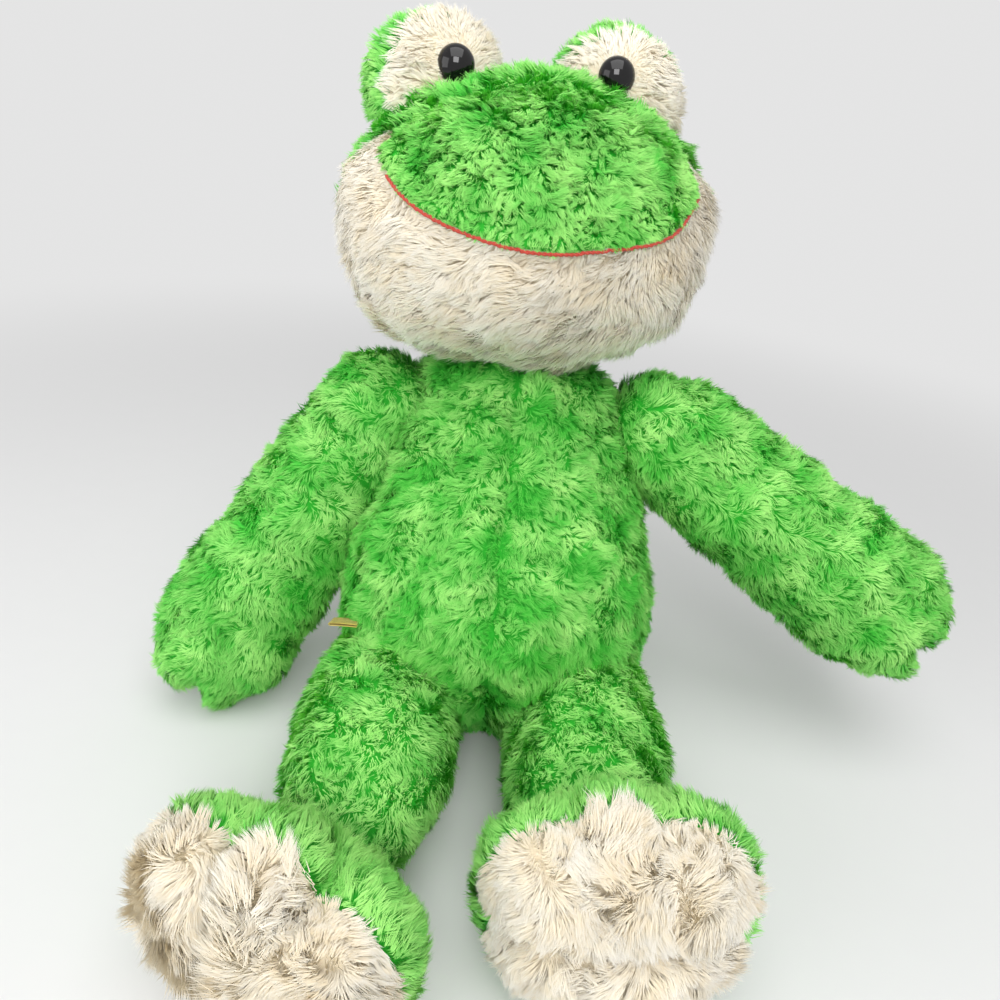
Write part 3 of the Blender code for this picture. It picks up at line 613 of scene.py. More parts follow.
def grow(piece, pile, cuts=(), neighbours=(), depth=0.007):
    """Grows the pile out of a closed piece, in the same mesh as its backing."""
    chance = np.random.default_rng(pile.seed)
    points, triangles, normals = skin_of(piece, cuts)
    hidden = buried(points, neighbours, depth)
    open_skin = triangles[~hidden[triangles].all(axis=1)]
    density = pile.density * settings().density * 1.0
    roots, facing = scatter(points, open_skin, normals, density, chance)
    grown, grown_facing, loops, starts, card = blade_mesh(roots, facing, pile, chance)
    mesh = piece.data
    backing_loops = np.empty(len(mesh.loops), np.int64)
    mesh.loops.foreach_get("vertex_index", backing_loops)
    backing_starts = np.empty(len(mesh.polygons), np.int64)
    mesh.polygons.foreach_get("loop_start", backing_starts)
    whole = bpy.data.meshes.new(piece.name)
    all_points = np.concatenate([points, grown])
    all_loops = np.concatenate([backing_loops, loops + len(points)])
    all_starts = np.concatenate([backing_starts, starts + len(backing_loops)])
    whole.vertices.add(len(all_points))
    whole.vertices.foreach_set("co", all_points.ravel())
    whole.loops.add(len(all_loops))
    whole.loops.foreach_set("vertex_index", all_loops)
    whole.polygons.add(len(all_starts))
    whole.polygons.foreach_set("loop_start", all_starts)
    card_map = whole.uv_layers.new(name="OFBake")
    card_map.data.foreach_set("uv", np.concatenate([base_card(mesh), card]).ravel())
    whole.update(calc_edges=True)
    whole.validate()
    whole.polygons.foreach_set("use_smooth", np.ones(len(all_starts), bool))
    facing_map = whole.attributes.new("custom_normal", "FLOAT_VECTOR", "POINT")
    facing_map.data.foreach_set("vector", np.concatenate([normals, grown_facing]).ravel())
    piece.data = whole
    bpy.data.meshes.remove(mesh)
    return piece


# Finishes

class Signal:
    """One number in a shader, which Python's operators carry on through Math nodes."""

    def __init__(self, finish, socket):
        self.finish = finish
        self.socket = socket

    def _with(self, operation, first, second=0.0):
        made_node = self.finish.node("ShaderNodeMath", {"operation": operation}, {0: first, 1: second})
        return Signal(self.finish, made_node.outputs[0])

    def __add__(self, other):
        return self._with("ADD", self, other)

    __radd__ = __add__

    def __mul__(self, other):
        return self._with("MULTIPLY", self, other)

    __rmul__ = __mul__


class Finish:
    """A material of nodes round one Principled shader."""

    def __init__(self, name, roughness, **sockets):
        self.material = bpy.data.materials.new(name)
        self.material.use_nodes = True
        self.tree = self.material.node_tree
        self.shader = self.tree.nodes["Principled BSDF"]
        self.shader.inputs["Roughness"].default_value = roughness
        for key, value in sockets.items():
            self.shader.inputs[key.replace("_", " ")].default_value = value

    def node(self, kind, options=None, inputs=None):
        """A node of a kind, its options set first, then its sockets' values or links."""
        new = self.tree.nodes.new(kind)
        for key, value in (options or {}).items():
            setattr(new, key, value)
        for key, value in (inputs or {}).items():
            self.feed(new.inputs[key], value)
        return new

    def feed(self, socket, value):
        if isinstance(value, Signal):
            value = value.socket
        if isinstance(value, bpy.types.NodeSocket):
            self.tree.links.new(value, socket)
        else:
            socket.default_value = value

    def signal(self, node, output=0):
        return Signal(self, node.outputs[output])

    def ramp(self, factor, *stops):
        """A colour that runs through stops of (place, colour)."""
        node = self.node("ShaderNodeValToRGB", None, {"Fac": factor})
        node.color_ramp.interpolation = "EASE"
        while len(node.color_ramp.elements) < len(stops):
            node.color_ramp.elements.new(0.5)
        for element, (place, colour) in zip(node.color_ramp.elements, stops):
            element.position = place
            element.color = (*colour[:3], 1.0)
        return node.outputs["Color"]

    def mix(self, factor, first, second):
        node = self.node("ShaderNodeMix", {"data_type": "RGBA"}, {"Factor": factor})
        self.feed(node.inputs[6], first)
        self.feed(node.inputs[7], second)
        return node.outputs[2]

    def noise(self, scale, detail=2.0, vector=None):
        inputs = {"Scale": scale, "Detail": detail}
        inputs["Vector"] = vector or self.node("ShaderNodeTexCoord").outputs["Object"]
        return self.signal(self.node("ShaderNodeTexNoise", None, inputs))

    def bump(self, height, strength, distance):
        node = self.node("ShaderNodeBump", None, {"Strength": strength, "Distance": distance})
        self.feed(node.inputs["Height"], height)
        self.feed(self.shader.inputs["Normal"], node.outputs["Normal"])

    def colour(self, value):
        self.feed(self.shader.inputs["Base Color"], value)

    def roughness(self, value):
        self.feed(self.shader.inputs["Roughness"], value)


def plush_finish(name, sheen, dark, light):
    """Pile colours read from the colour card: across it by tone, along it from root to tip."""
    finish = Finish(name, 0.70, Specular_IOR_Level=0.12, Sheen_Weight=0.10, Sheen_Roughness=0.5,
                    Sheen_Tint=(*sheen, 1.0))
    card = finish.node("ShaderNodeUVMap", {"uv_map": "OFBake"})
    parts = finish.node("ShaderNodeSeparateXYZ", None, {"Vector": card.outputs["UV"]})
    tone = finish.signal(parts, "X")
    along = finish.signal(parts, "Y")
    # Both ramps run darker towards the root: partly the pile's own lighter tips, partly painted shade
    # deep in the pile, where the blades shade each other.
    places = (0.06, 0.30, 0.62, 0.92)
    low = finish.ramp(along, *zip(places, dark))
    high = finish.ramp(along, *zip(places, light))
    finish.colour(finish.mix(tone, low, high))
    return finish.material


def green_finish():
    pick = settings()
    deep, half, tip = pick.green_deep, pick.green_mid, pick.green_tip
    return plush_finish("green_plush_pile", tip,
                        (scaled(deep, 0.9), deep, scaled(deep, 1.15), half),
                        (deep, half, tip, scaled(tip, 1.12)))


def cream_finish():
    pick = settings()
    shade, half, tip = pick.cream_shade, pick.cream_pile, pick.cream_tip
    return plush_finish("cream_plush_pile", tip,
                        (scaled(shade, 0.92), shade, scaled(shade, 1.05), half),
                        (shade, half, scaled(half, 1.03), tip))


def scaled(colour, share):
    return tuple(min(1.0, channel * share) for channel in colour[:3])


def eye_finish():
    finish = Finish("eye_plastic_black", 0.06, Specular_IOR_Level=0.36, Coat_Weight=0.12,
                    Coat_Roughness=0.03)
    swirl = finish.noise(220.0, 3.0)
    finish.colour(finish.mix(swirl, (0.002, 0.002, 0.003, 1.0), (0.007, 0.006, 0.006, 1.0)))
    finish.roughness(0.05 + swirl * 0.04)
    return finish.material


def thread_finish(name, colour, lighter):
    finish = Finish(name, 0.7, Sheen_Weight=0.3)
    strands = finish.noise(2400.0, 2.0)
    finish.colour(finish.mix(strands, (*scaled(colour, 0.6), 1.0), (*scaled(colour, lighter), 1.0)))
    finish.bump(strands, 0.4, 0.0003)
    return finish.material


def label_finish():
    finish = Finish("label_tape", 0.55, Sheen_Weight=0.2)
    place = finish.node("ShaderNodeTexCoord").outputs["Object"]
    weave = finish.node("ShaderNodeTexBrick", {"offset": 0.5, "squash": 1.0},
                        {"Vector": place, "Scale": 1400.0, "Mortar Size": 0.03,
                         "Color1": (0.80, 0.62, 0.12, 1.0), "Color2": (0.70, 0.53, 0.09, 1.0),
                         "Mortar": (0.42, 0.30, 0.05, 1.0)})
    finish.colour(weave.outputs["Color"])
    finish.bump(finish.signal(weave, "Fac"), 0.5, 0.0002)
    return finish.material


def washer_finish():
    finish = Finish("washer_plastic_moulded", 0.45)
    grain = finish.noise(900.0, 3.0)
    finish.colour(finish.mix(grain, (0.70, 0.70, 0.68, 1.0), (0.80, 0.80, 0.78, 1.0)))
    finish.roughness(0.40 + grain * 0.15)
    finish.bump(grain, 0.15, 0.0002)
    return finish.material


def bag_finish():
    finish = Finish("pellet_bag_cloth", 0.85)
    weave = finish.noise(1800.0, 1.0)
    finish.colour(finish.mix(weave, (0.62, 0.60, 0.55, 1.0), (0.78, 0.76, 0.70, 1.0)))
    finish.bump(weave, 0.5, 0.0003)
    return finish.material


MADE_FINISHES = {}


def finish_for(name):
    """Each finish is made once and shared."""
    if name not in MADE_FINISHES:
        makers = {
            "green": green_finish,
            "cream": cream_finish,
            "eye": eye_finish,
            "mouth": lambda: thread_finish("mouth_thread_red", settings().mouth_red, 1.25),
            "seam": lambda: thread_finish("seam_thread_green", (0.03, 0.25, 0.03), 1.3),
            "label": label_finish,
            "washer": washer_finish,
            "bag": bag_finish,
        }
        MADE_FINISHES[name] = makers[name]()
    return MADE_FINISHES[name]


def put_on(piece, finish, slot, body, *nodes):
    """Gives a piece its finish, the body it rides on and the nodes it stands for; slot is not used."""
    piece.data.materials.clear()
    piece.data.materials.append(finish_for(finish))
    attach(piece, body)
    if nodes:
        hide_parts(*nodes)
    return piece


def plush(piece, pile, finish, body, nodes, cuts=(), neighbours=(), depth=0.007):
    grow(piece, pile, cuts, neighbours, depth)
    put_on(piece, finish, finish + "_plush", body, *nodes)
    return piece


def smooth_shaded(piece, angle=40.0):
    make_active(piece)
    bpy.ops.object.shade_smooth_by_angle(angle=math.radians(angle))
    return piece


# The forms under the pile, made once

FORMS = {}


def form_of(name):
    return FORMS[name]


def remember(name, form):
    FORMS[name] = form
    form.hide_render = True
    return form


def make_forms():
    """Every stuffed form without its pile, sunk under the solid's surface by the pile's depth."""
    sink = settings().sink
    torso_at = torso_place() @ Matrix.Translation((0.0, 0.0, -TORSO_BELOW_HIP))
    torso_form = (torso_at, TORSO_SIZE, TORSO_RINGS, [1.0] * 12)
    torso = settled(stuffed_form("torso_form", *torso_form, sink), *torso_form)
    knead(torso, 0.0012, 0.045, 11)
    centre_crease(torso)
    raise_collar(torso)
    remember("torso", torso)
    head_at = head_place() @ Matrix.Translation((0.0, 0.0, -HEAD_BELOW_CENTRE))
    head = stuffed_form("head_form", head_at, HEAD_SIZE, HEAD_RINGS, [1.0] * 12, sink, levels=4)
    knead(head, 0.0008, 0.050, 12)
    mouth_ridge(head)
    fill_chin(head)
    eye_hollows(head)
    remember("head", head)
    for side, name in SIDES.items():
        stand = Matrix.Translation((0.0, BULGE_SIZE[0] / 2.0, 0.0))
        bulge_at = bulge_place(side) @ (stand @ Matrix.Rotation(math.pi / 2.0, 4, "X"))
        remember("bulge_" + name, stuffed_form("bulge_form_" + name, bulge_at, BULGE_SIZE,
                                               BULGE_RINGS, [1.0] * 10, sink))
        arm_at = arm_place(side) @ Matrix.Translation((0.0, 0.0, -ARM_ABOVE))
        arm = stuffed_form("arm_form_" + name, arm_at, ARM_SIZE, ARM_RINGS, [1.0] * 10, sink)
        knead(arm, 0.0012, 0.040, 13 + side)
        finger_crease(arm, arm_at, side)
        remember("arm_" + name, arm)
        leg_at = leg_place(side) @ Matrix.Translation((0.0, 0.0, -LEG_BEHIND_HIP))
        leg_form = (leg_at, LEG_SIZE, LEG_RINGS, [1.0] * 10)
        leg = settled(stuffed_form("leg_form_" + name, *leg_form, sink), *leg_form)
        knead(leg, 0.0010, 0.040, 17 + side)
        remember("leg_" + name, leg)
        foot_form = (foot_place(side), FOOT_SIZE, FOOT_RINGS, list(FOOT_OUTLINE))
        foot = settled(stuffed_form("foot_form_" + name, *foot_form, sink), *foot_form)
        toe_creases(foot, side)
        fill_ankle(leg, foot, side)
        remember("foot_" + name, foot)


def centre_crease(torso):
    """The front centre seam pulls the belly in a little."""
    place = torso_place()

    def shift(points):
        own = local(points, place)
        front = smooth(-own[:, 1], 0.0, 0.02)
        return -CENTRE_CREASE * hill(own[:, 0] / 0.006) * front

    push(torso, shift)


def raise_collar(torso):
    """The chest is stuffed up to the head, so that no neck shows."""
    place = torso_place()
    push(torso, lambda points: COLLAR_RISE * smooth(local(points, place)[:, 2], 0.140, 0.166))


def finger_crease(arm, place, side):
    """The mitten's one fold, between its finger and its thumb."""

    def shift(points):
        own = local(points, place)
        end = smooth(own[:, 2], ARM_SIZE[0] - 0.026, ARM_SIZE[0] - 0.006)
        between = hill((own[:, 0] - side * FINGER_FOLD_AT) / 0.0055)
        finger = hill((own[:, 0] - side * 0.017) / 0.0075)
        return end * (FINGER_LENGTH * finger - FINGER_FOLD * between)

    push(arm, shift)


def fill_chin(head):
    """The jaw is full underneath, and rests on the chest."""
    place = head_place()
    push(head, lambda points: CHIN_FILL * smooth(-local(points, place)[:, 2], 0.015, 0.045))


def near_eyes(points, reach):
    """1 at an eye, falling to 0 around it."""
    far = [away_from(points, eye_seat(side).translation) for side in SIDES]
    return hill(np.minimum(*far) / reach)


def eye_hollows(head):
    """The muzzle is drawn down under the eyes, so that they show whole."""
    push(head, lambda points: -EYE_HOLLOW * near_eyes(points, EYE_HOLLOW_REACH))


def mouth_plane():
    place = head_place()
    down = Vector((0.0, math.sin(MOUTH_SLOPE), -math.cos(MOUTH_SLOPE)))
    down = Matrix.Rotation(MOUTH_ROLL, 3, "Y") @ down
    return place @ Vector(MOUTH_SEAM), place.to_3x3() @ down


def mouth_height(points):
    """How far points lie below the mouth seam's plane."""
    at, down = mouth_plane()
    return (points - np.array(at)) @ np.array(down)


def mouth_front(points):
    """1 where the mouth line runs, 0 behind its corners."""
    corner = min(MOUTH_CORNER_FORWARD.values())
    return smooth(-local(points, head_place())[:, 1], corner - 0.012, corner)


def mouth_ridge(head):
    """The seam's allowance lifts the skin where the mouth line is sewn on."""

    def shift(points):
        return MOUTH_RIDGE * hill(mouth_height(points) / 0.0035) * mouth_front(points)

    push(head, shift)


def toe_creases(foot, side):
    """Folds between the toes, from their tips towards the middle of the foot, and the sole's fold."""
    place = foot_place(side)

    def shift(points):
        own = local(points, place)
        turn = np.arctan2(own[:, 1], own[:, 0])
        far = np.hypot(own[:, 0], own[:, 1])
        folds = sum(hill((turn - math.radians(angle)) / 0.14) for angle in TOE_FOLDS)
        front = smooth(-own[:, 2], -0.030, -0.010)
        pad = SOLE_PAD * front * (1.0 - smooth(far, 0.020, 0.052))
        across = SOLE_FOLD_DEPTH[side] * sole_fold(points, side) * front
        return pad - TOE_FOLD_DEPTH * folds * smooth(far, 0.020, 0.046) - across

    push(foot, shift)


def fill_ankle(leg, foot, side):
    """The leg's end and the foot's back are stuffed full where they are sewn to each other."""
    end = leg_place(side) @ Vector((0.0, 0.0, LEG_SIZE[0] - LEG_BEHIND_HIP))
    middle = end + Vector((side * FOOT_OUT[side] * 0.4, -0.004, 0.0))

    def shift(points):
        return ANKLE_FILL[side] * hill(away_from(points, middle) / ANKLE_FILL_REACH)

    push(leg, shift)
    push(foot, shift)


def toes_at(points, side):
    """1 along the middle toe, and 1 in the folds beside it, for points of a foot."""
    own = local(points, foot_place(side))
    turn = np.degrees(np.arctan2(own[:, 1], own[:, 0]))
    middle = hill((turn - 90.0) / 18.0)
    return middle, sum(hill((turn - angle) / 7.0) for angle in TOE_FOLDS)


def past_fold(own, side):
    """How far points, in a foot's own axes, lie past the fold that crosses its sole."""
    if side < 0:
        return own[:, 0] - 0.012 - 0.06 * own[:, 1]
    return own[:, 1] + 0.0145 - 0.10 * own[:, 0]


def sole_fold(points, side):
    """1 in the fold that crosses the sole, falling to 0 beside it."""
    own = local(points, foot_place(side))
    return hill(past_fold(own, side) / SOLE_FOLD_WIDTH)


# Panels

def torso_cuts():
    """The torso's middle, the way to its back, and the way to its left."""
    place = torso_place()
    return place.translation, place.to_3x3() @ Vector((0.0, 1.0, 0.0)), Vector((1.0, 0.0, 0.0))


def build_torso():
    """Two front panels with a centre seam, and one back panel."""
    form = form_of("torso")
    middle, back, left = torso_cuts()
    place = torso_place()
    down = way(place, 0.0, 0.0, -1.0)
    near = [surface(form_of(name)) for name in
            ("head", "arm_right", "arm_left", "leg_right", "leg_left")]

    def comb(points):
        own = local(points, place)
        parting = 0.35 + 0.9 * hill(own[:, 0:1] / 0.018)
        return down + np.sign(own[:, 0:1]) * np.array([[1.0, 0.0, 0.0]]) * parting

    def shorter(points):
        own = local(points, place)
        return 1.0 - 0.35 * hill(own[:, 0] / 0.004) * (own[:, 1] < 0.0)

    def shade(points):
        own = local(points, place)
        # Painted shade: darker along the front centre seam's crease and over the lower belly, in the
        # shade between the legs; besides that a lower tone all over and random tone.
        seam = hill(own[:, 0] / 0.003) * (own[:, 1] < 0.0)
        belly = 1.0 - smooth(points[:, 2], 0.060, 0.120)
        return -0.15 - 0.12 * belly - 0.30 * seam + 0.14 * wander(points, 0.013, 107)

    for side, name in SIDES.items():
        cuts = [(middle, back), (middle, -side * left)]
        piece = panel_of(form, "torso_front_" + name + "_plush", *cuts)
        pile = Pile(comb, seed=101 + side, density=2.9, width=0.00037, shorter=shorter, tone=shade)
        plush(piece, pile, "green", "torso", ["torso_front_" + name], cuts, near, JOINT_PILE)
    cuts = [(middle, -back)]
    piece = panel_of(form, "torso_back_plush", *cuts)
    plush(piece, Pile(comb, seed=104, density=1.4, width=0.00050), "green", "torso",
          ["torso_back", "torso_filling"], cuts, near, JOINT_PILE)


def build_head():
    """Muzzle and forehead, lower jaw, and the back of the head."""
    form = form_of("head")
    place = head_place()
    mouth_at, mouth_down = mouth_plane()
    back_at = place @ Vector(BACK_SEAM)
    ahead = place.to_3x3() @ Vector((0.0, -math.cos(BACK_SEAM_SLOPE), -math.sin(BACK_SEAM_SLOPE)))
    near = [surface(form_of(name)) for name in ("torso", "bulge_right", "bulge_left")]

    def muzzle_comb(points):
        own = local(points, place)
        return ways_of(place, own[:, 0] * 6.0, 0.0 * own[:, 0], -np.ones(len(own)))

    def muzzle_short(points):
        seam = 0.55 + 0.45 * smooth(-mouth_height(points), 0.001, 0.010)
        return seam * (1.0 - 0.70 * near_eyes(points, 0.019))

    def jaw_comb(points):
        own = local(points, place)
        swing = smooth(own[:, 0], 0.010, 0.060)
        return ways_of(place, -0.9 + 1.1 * swing, 0.1 * swing, -0.45 - 0.6 * swing)

    def jaw_short(points):
        return 0.45 + 0.55 * smooth(mouth_height(points), 0.001, 0.012)

    cuts = [(mouth_at, mouth_down), (back_at, -ahead)]
    plush(panel_of(form, "head_muzzle_plush", *cuts),
          Pile(muzzle_comb, length=0.0066, seed=111, swirl=(34.0, 28.0), density=6.5, width=0.00029,
               shorter=muzzle_short, tone=lambda points: 0.10),
          "green", "head", ["head_muzzle"], cuts, near)
    cuts = [(mouth_at, -mouth_down), (back_at, -ahead)]
    plush(panel_of(form, "head_jaw_plush", *cuts),
          Pile(jaw_comb, length=0.0092, seed=112, lean=(30.0, 68.0), swirl=(20.0, 16.0), clump=0.0040,
               gather=0.30, ruffle=13.0, density=3.4, width=0.00035, shorter=jaw_short),
          "cream", "head", ["head_jaw"], cuts, near, JOINT_PILE)
    cuts = [(back_at, ahead)]
    plush(panel_of(form, "head_back_plush", *cuts),
          Pile(steady(way(place, 0.0, 0.4, -1.0)), seed=113, density=1.5, width=0.00050),
          "green", "head", ["head_back", "head_filling"], cuts, near, JOINT_PILE)


def build_neck():
    """The stuffed neck that the head nods and turns on, short-piled where the fur parts."""
    place = Matrix.Translation(neck_centre() - Vector((0.0, 0.0, NECK_RADIUS)))
    form = stuffed_form("neck_plush", place, (2.0 * NECK_RADIUS, NECK_RADIUS, NECK_RADIUS),
                        BALL_RINGS, [1.0] * 12, 0.002)
    near = [surface(form_of("head")), surface(form_of("torso"))]
    pile = Pile(steady(np.array([0.0, 0.2, -1.0])), length=0.006, seed=121)
    plush(form, pile, "green", "neck", ["neck_filling"], (), near, 0.004)


def bulge_cut(side):
    place = bulge_place(side)
    seam = place @ Vector((0.0, BULGE_SEAM_DEPTH - BULGE_SIZE[0] / 2.0, 0.0))
    turn = Matrix.Rotation(BULGE_SEAM_TURN[side], 3, "Z")
    turn = turn @ Matrix.Rotation(BULGE_SEAM_TILT[side], 3, "X")
    return place, seam, place.to_3x3() @ turn @ Vector((0.0, -1.0, 0.0))


def eye_seat(side):
    """The middle of the CAD eye's rim, with +Z facing out of the head."""
    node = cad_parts["eye_" + SIDES[side]]
    back = head_place().inverted() @ node.matrix_world
    own = np.array([back @ vert.co for vert in node.data.vertices])
    low, high = own.min(axis=0), own.max(axis=0)
    rim = Vector(((low[0] + high[0]) / 2.0, low[1] + EYE_HEIGHT, (low[2] + high[2]) / 2.0))
    return head_place() @ Matrix.Translation(rim) @ Matrix.Rotation(math.pi / 2.0, 4, "X")


def build_bulges():
    """Each eye bulge's cream front and green back."""
    for side, name in SIDES.items():
        form = form_of("bulge_" + name)
        place, seam, ahead = bulge_cut(side)
        eye_at = np.array(eye_seat(side).translation)
        near = [surface(form_of("head"))]

        def from_eye(points):
            return points - eye_at

        def shorter(points):
            return 0.45 + 0.55 * smooth(away_from(points, eye_at), 0.009, 0.018)

        def backwards(points):
            own = local(points, place)
            return ways_of(place, own[:, 0] * 20.0, 0.9 + 0.0 * own[:, 0], own[:, 2] * 14.0)

        cuts = [(seam, -ahead)]
        plush(panel_of(form, f"eye_bulge_front_{name}_plush", *cuts),
              Pile(from_eye, length=0.0072, seed=131 + side, lean=(30.0, 66.0), swirl=(18.0, 14.0),
                   ruffle=16.0, density=3.6, width=0.00034, shorter=shorter),
              "cream", "head", [f"eye_bulge_front_{name}"], cuts, near)
        cuts = [(seam, ahead)]
        plush(panel_of(form, f"eye_bulge_back_{name}_plush", *cuts),
              Pile(backwards, length=0.0064, seed=134 + side, swirl=(25.0, 18.0)),
              "green", "head", [f"eye_bulge_back_{name}", f"eye_bulge_filling_{name}"], cuts, near)


def build_eyes():
    """Domed safety eyes: a ball flattened, cut at its rim, with a shank drawn out of its back."""
    nothing_selected()
    bpy.ops.mesh.primitive_uv_sphere_add(segments=48, ring_count=24, radius=EYE_RADIUS,
                                         location=(0.0, 0.0, 0.0))
    eye = made("domed_eye")
    bpy.ops.object.mode_set(mode="EDIT")
    bpy.ops.mesh.select_all(action="SELECT")
    bpy.ops.transform.resize(value=(1.0, 1.0, EYE_HEIGHT / EYE_RADIUS))
    bpy.ops.mesh.bisect(plane_co=(0.0, 0.0, 0.0), plane_no=(0.0, 0.0, 1.0), use_fill=True,
                        clear_inner=True)
    bpy.ops.object.mode_set(mode="OBJECT")
    for face in eye.data.polygons:
        face.select = face.normal.z < -0.9 and abs(face.center.z) < 1e-5
    bpy.ops.object.mode_set(mode="EDIT")
    bpy.ops.mesh.inset(thickness=EYE_RADIUS - SHANK_RADIUS)
    bpy.ops.mesh.extrude_region_move(TRANSFORM_OT_translate={"value": (0.0, 0.0, -SHANK_LENGTH)})
    bpy.ops.object.mode_set(mode="OBJECT")
    finish_modifier(eye, "BEVEL", width=0.0005, segments=3, limit_method="ANGLE")
    smooth_shaded(eye, 50.0)
    for side, name in SIDES.items():
        piece = copy_of(eye, f"eye_{name}_domed")
        piece.data.transform(eye_seat(side))
        put_on(piece, "eye", "eye_plastic", "head", "eye_" + name)
    bpy.data.objects.remove(eye)


def strand(name, points, radius):
    """A round thread through the points, turned into a mesh."""
    curve = bpy.data.curves.new(name, "CURVE")
    curve.dimensions = "3D"
    curve.bevel_depth = radius
    curve.bevel_resolution = 2
    curve.use_fill_caps = True
    spline = curve.splines.new("POLY")
    spline.points.add(len(points) - 1)
    for point, co in zip(spline.points, points):
        point.co = (*co, 1.0)
    obj = bpy.data.objects.new(name, curve)
    bpy.context.scene.collection.objects.link(obj)
    make_active(obj)
    bpy.ops.object.convert(target="MESH")
    return bpy.context.object


def joined(name, pieces):
    nothing_selected()
    for piece in pieces:
        piece.select_set(True)
    bpy.context.view_layer.objects.active = pieces[0]
    bpy.ops.object.join()
    return made(name)


def mouth_path():
    """Points of the seam between muzzle and jaw, from corner to corner."""
    place = head_place()
    point, down = mouth_plane()
    section = panel_of(form_of("head"), "mouth_section", (point, down))
    near = [vert.co.copy() for vert in section.data.vertices if abs((vert.co - point).dot(down)) < 1e-5]
    bpy.data.objects.remove(section)
    back = place.inverted()

    def before_corner(co):
        own = back @ co
        return own.y < -MOUTH_CORNER_FORWARD[1 if own.x > 0.0 else -1]

    near = [co for co in near if before_corner(co)]
    near.sort(key=lambda co: math.atan2((back @ co).x, -(back @ co).y))
    return near


def evenly(points, step):
    """The path again, with points a step apart."""
    path = np.array(points)
    far = np.concatenate([[0.0], np.cumsum(np.linalg.norm(np.diff(path, axis=0), axis=1))])
    at = np.linspace(0.0, far[-1], max(2, int(far[-1] / step)))
    return np.stack([np.interp(at, far, path[:, axis]) for axis in range(3)], axis=1), at


def build_mouth():
    """A red cord of two twisted strands, sewn along the seam between muzzle and jaw."""
    tree = surface(form_of("head"))
    path, at = evenly(mouth_path(), 0.0008)
    radius = settings().mouth_radius
    facing = np.array([tree.find_nearest(Vector(co))[1] for co in path])
    ahead = unit(np.gradient(path, axis=0))
    across = unit(np.cross(ahead, facing))
    core = path + facing * (radius * 3.0)
    strands = []
    for start in (0.0, math.pi):
        turn = at / 0.0042 * 2.0 * math.pi + start
        ring = facing * np.cos(turn)[:, None] + across * np.sin(turn)[:, None]
        strands.append(strand("mouth_strand", core + ring * (radius * 0.55), radius * 0.72))
    cord = smooth_shaded(joined("mouth_line_cord", strands))
    put_on(cord, "mouth", "mouth_thread", "head", "mouth_line")


def build_arms():
    """Two plain mitten arms."""
    for side, name in SIDES.items():
        toward = way(arm_place(side), 0.0, 0.0, 1.0)
        near = [surface(form_of("torso"))]
        piece = copy_of(form_of("arm_" + name), f"arm_{name}_plush")
        plush(piece, Pile(steady(toward), seed=141 + side), "green",
              "arm_" + name, ["arm_" + name, f"arm_{name}_filling"], (), near, JOINT_PILE)


def build_legs():
    """Two short legs, lying forward."""
    comb = steady(np.array([0.0, -1.0, -0.15]))
    for side, name in SIDES.items():
        near = [surface(form_of("torso")), surface(form_of("foot_" + name))]
        piece = copy_of(form_of("leg_" + name), f"leg_{name}_plush")
        # The legs' tone is raised by 0.20: painted light, lifting the pile where the body shades the
        # legs from the lamps.
        plush(piece, Pile(comb, seed=151 + side, density=1.8, tone=lambda points: 0.20), "green",
              "leg_" + name, ["leg_" + name, f"leg_{name}_filling"], (), near, 0.026)


def build_feet():
    """Each foot's green upper and its long shaggy cream sole."""
    for side, name in SIDES.items():
        form = form_of("foot_" + name)
        place = foot_place(side)
        seam = place @ Vector((0.0, 0.0, SOLE_DEPTH))
        tilt = SOLE_SEAM_TILT[side]
        upward = place.to_3x3() @ Vector((-math.sin(tilt), 0.0, math.cos(tilt)))
        near = [surface(form_of("leg_" + name))]

        def outwards(points):
            own = local(points, place)
            past = past_fold(own, side) > 0.0
            if side < 0:
                along = np.where(past, 0.034, np.clip(own[:, 0], -0.034, -0.010))
                up = np.where(past, np.clip(own[:, 1], -0.020, 0.024), 0.010)
            else:
                along = np.where(past, np.clip(own[:, 0], -0.026, 0.026), own[:, 0] * 0.6)
                up = np.where(past, 0.012, -0.008)
            out = np.stack([own[:, 0] - along, own[:, 1] - up, 0.0 * along], axis=1) / 0.020
            stray = [wander(points, 0.026, 171 + side + axis * 3) for axis in range(3)]
            return out @ axes_of(place) + 0.35 * np.stack(stray, axis=1)

        def toes(points):
            own = local(points, place)
            return ways_of(place, own[:, 0] * 5.0, own[:, 1] * 5.0, 1.0 + 0.0 * own[:, 0])

        def shorter(points):
            height = (points - np.array(seam)) @ np.array(upward)
            middle, folds = toes_at(points, side)
            rim = 0.62 + 0.38 * smooth(-height, 0.0, 0.014) + 0.45 * middle - 0.25 * folds
            return rim * (1.0 - 0.62 * sole_fold(points, side))

        def shade(points):
            # Painted shade: darker in the fold that crosses the sole, under the tufts that hang over
            # it; besides that a lower tone all over the sole and random tone.
            return -0.22 - 0.50 * sole_fold(points, side) + 0.22 * wander(points, 0.016, 174 + side)

        cuts = [(seam, upward)]
        plush(panel_of(form, f"foot_{name}_sole_plush", *cuts),
              Pile(outwards, length=0.0116, seed=161 + side, lean=(18.0, 58.0), swirl=(22.0, 18.0),
                   clump=0.0050, gather=0.40, ruffle=14.0, density=4.6, width=0.00033, shorter=shorter,
                   tone=shade),
              "cream", "foot_" + name, [f"foot_{name}_sole", f"foot_{name}_filling"], cuts, near)
        # The uppers' tone is raised by 0.36: painted light, lifting the pile that faces up and back,
        # away from the lamps.
        cuts = [(seam, -upward)]
        plush(panel_of(form, f"foot_{name}_upper_plush", *cuts),
              Pile(toes, length=0.0076, seed=164 + side, swirl=(30.0, 22.0), density=2.9, width=0.00037,
                   tone=lambda points: 0.36),
              "green", "foot_" + name, [f"foot_{name}_upper"], cuts, near)


def bounds_along(node, place):
    """A CAD node's lowest and highest corner in a place's own axes."""
    stand = np.array(node.matrix_world)
    own = local(corners(node.data) @ stand[:3, :3].T + stand[:3, 3], place)
    return own.min(axis=0), own.max(axis=0)


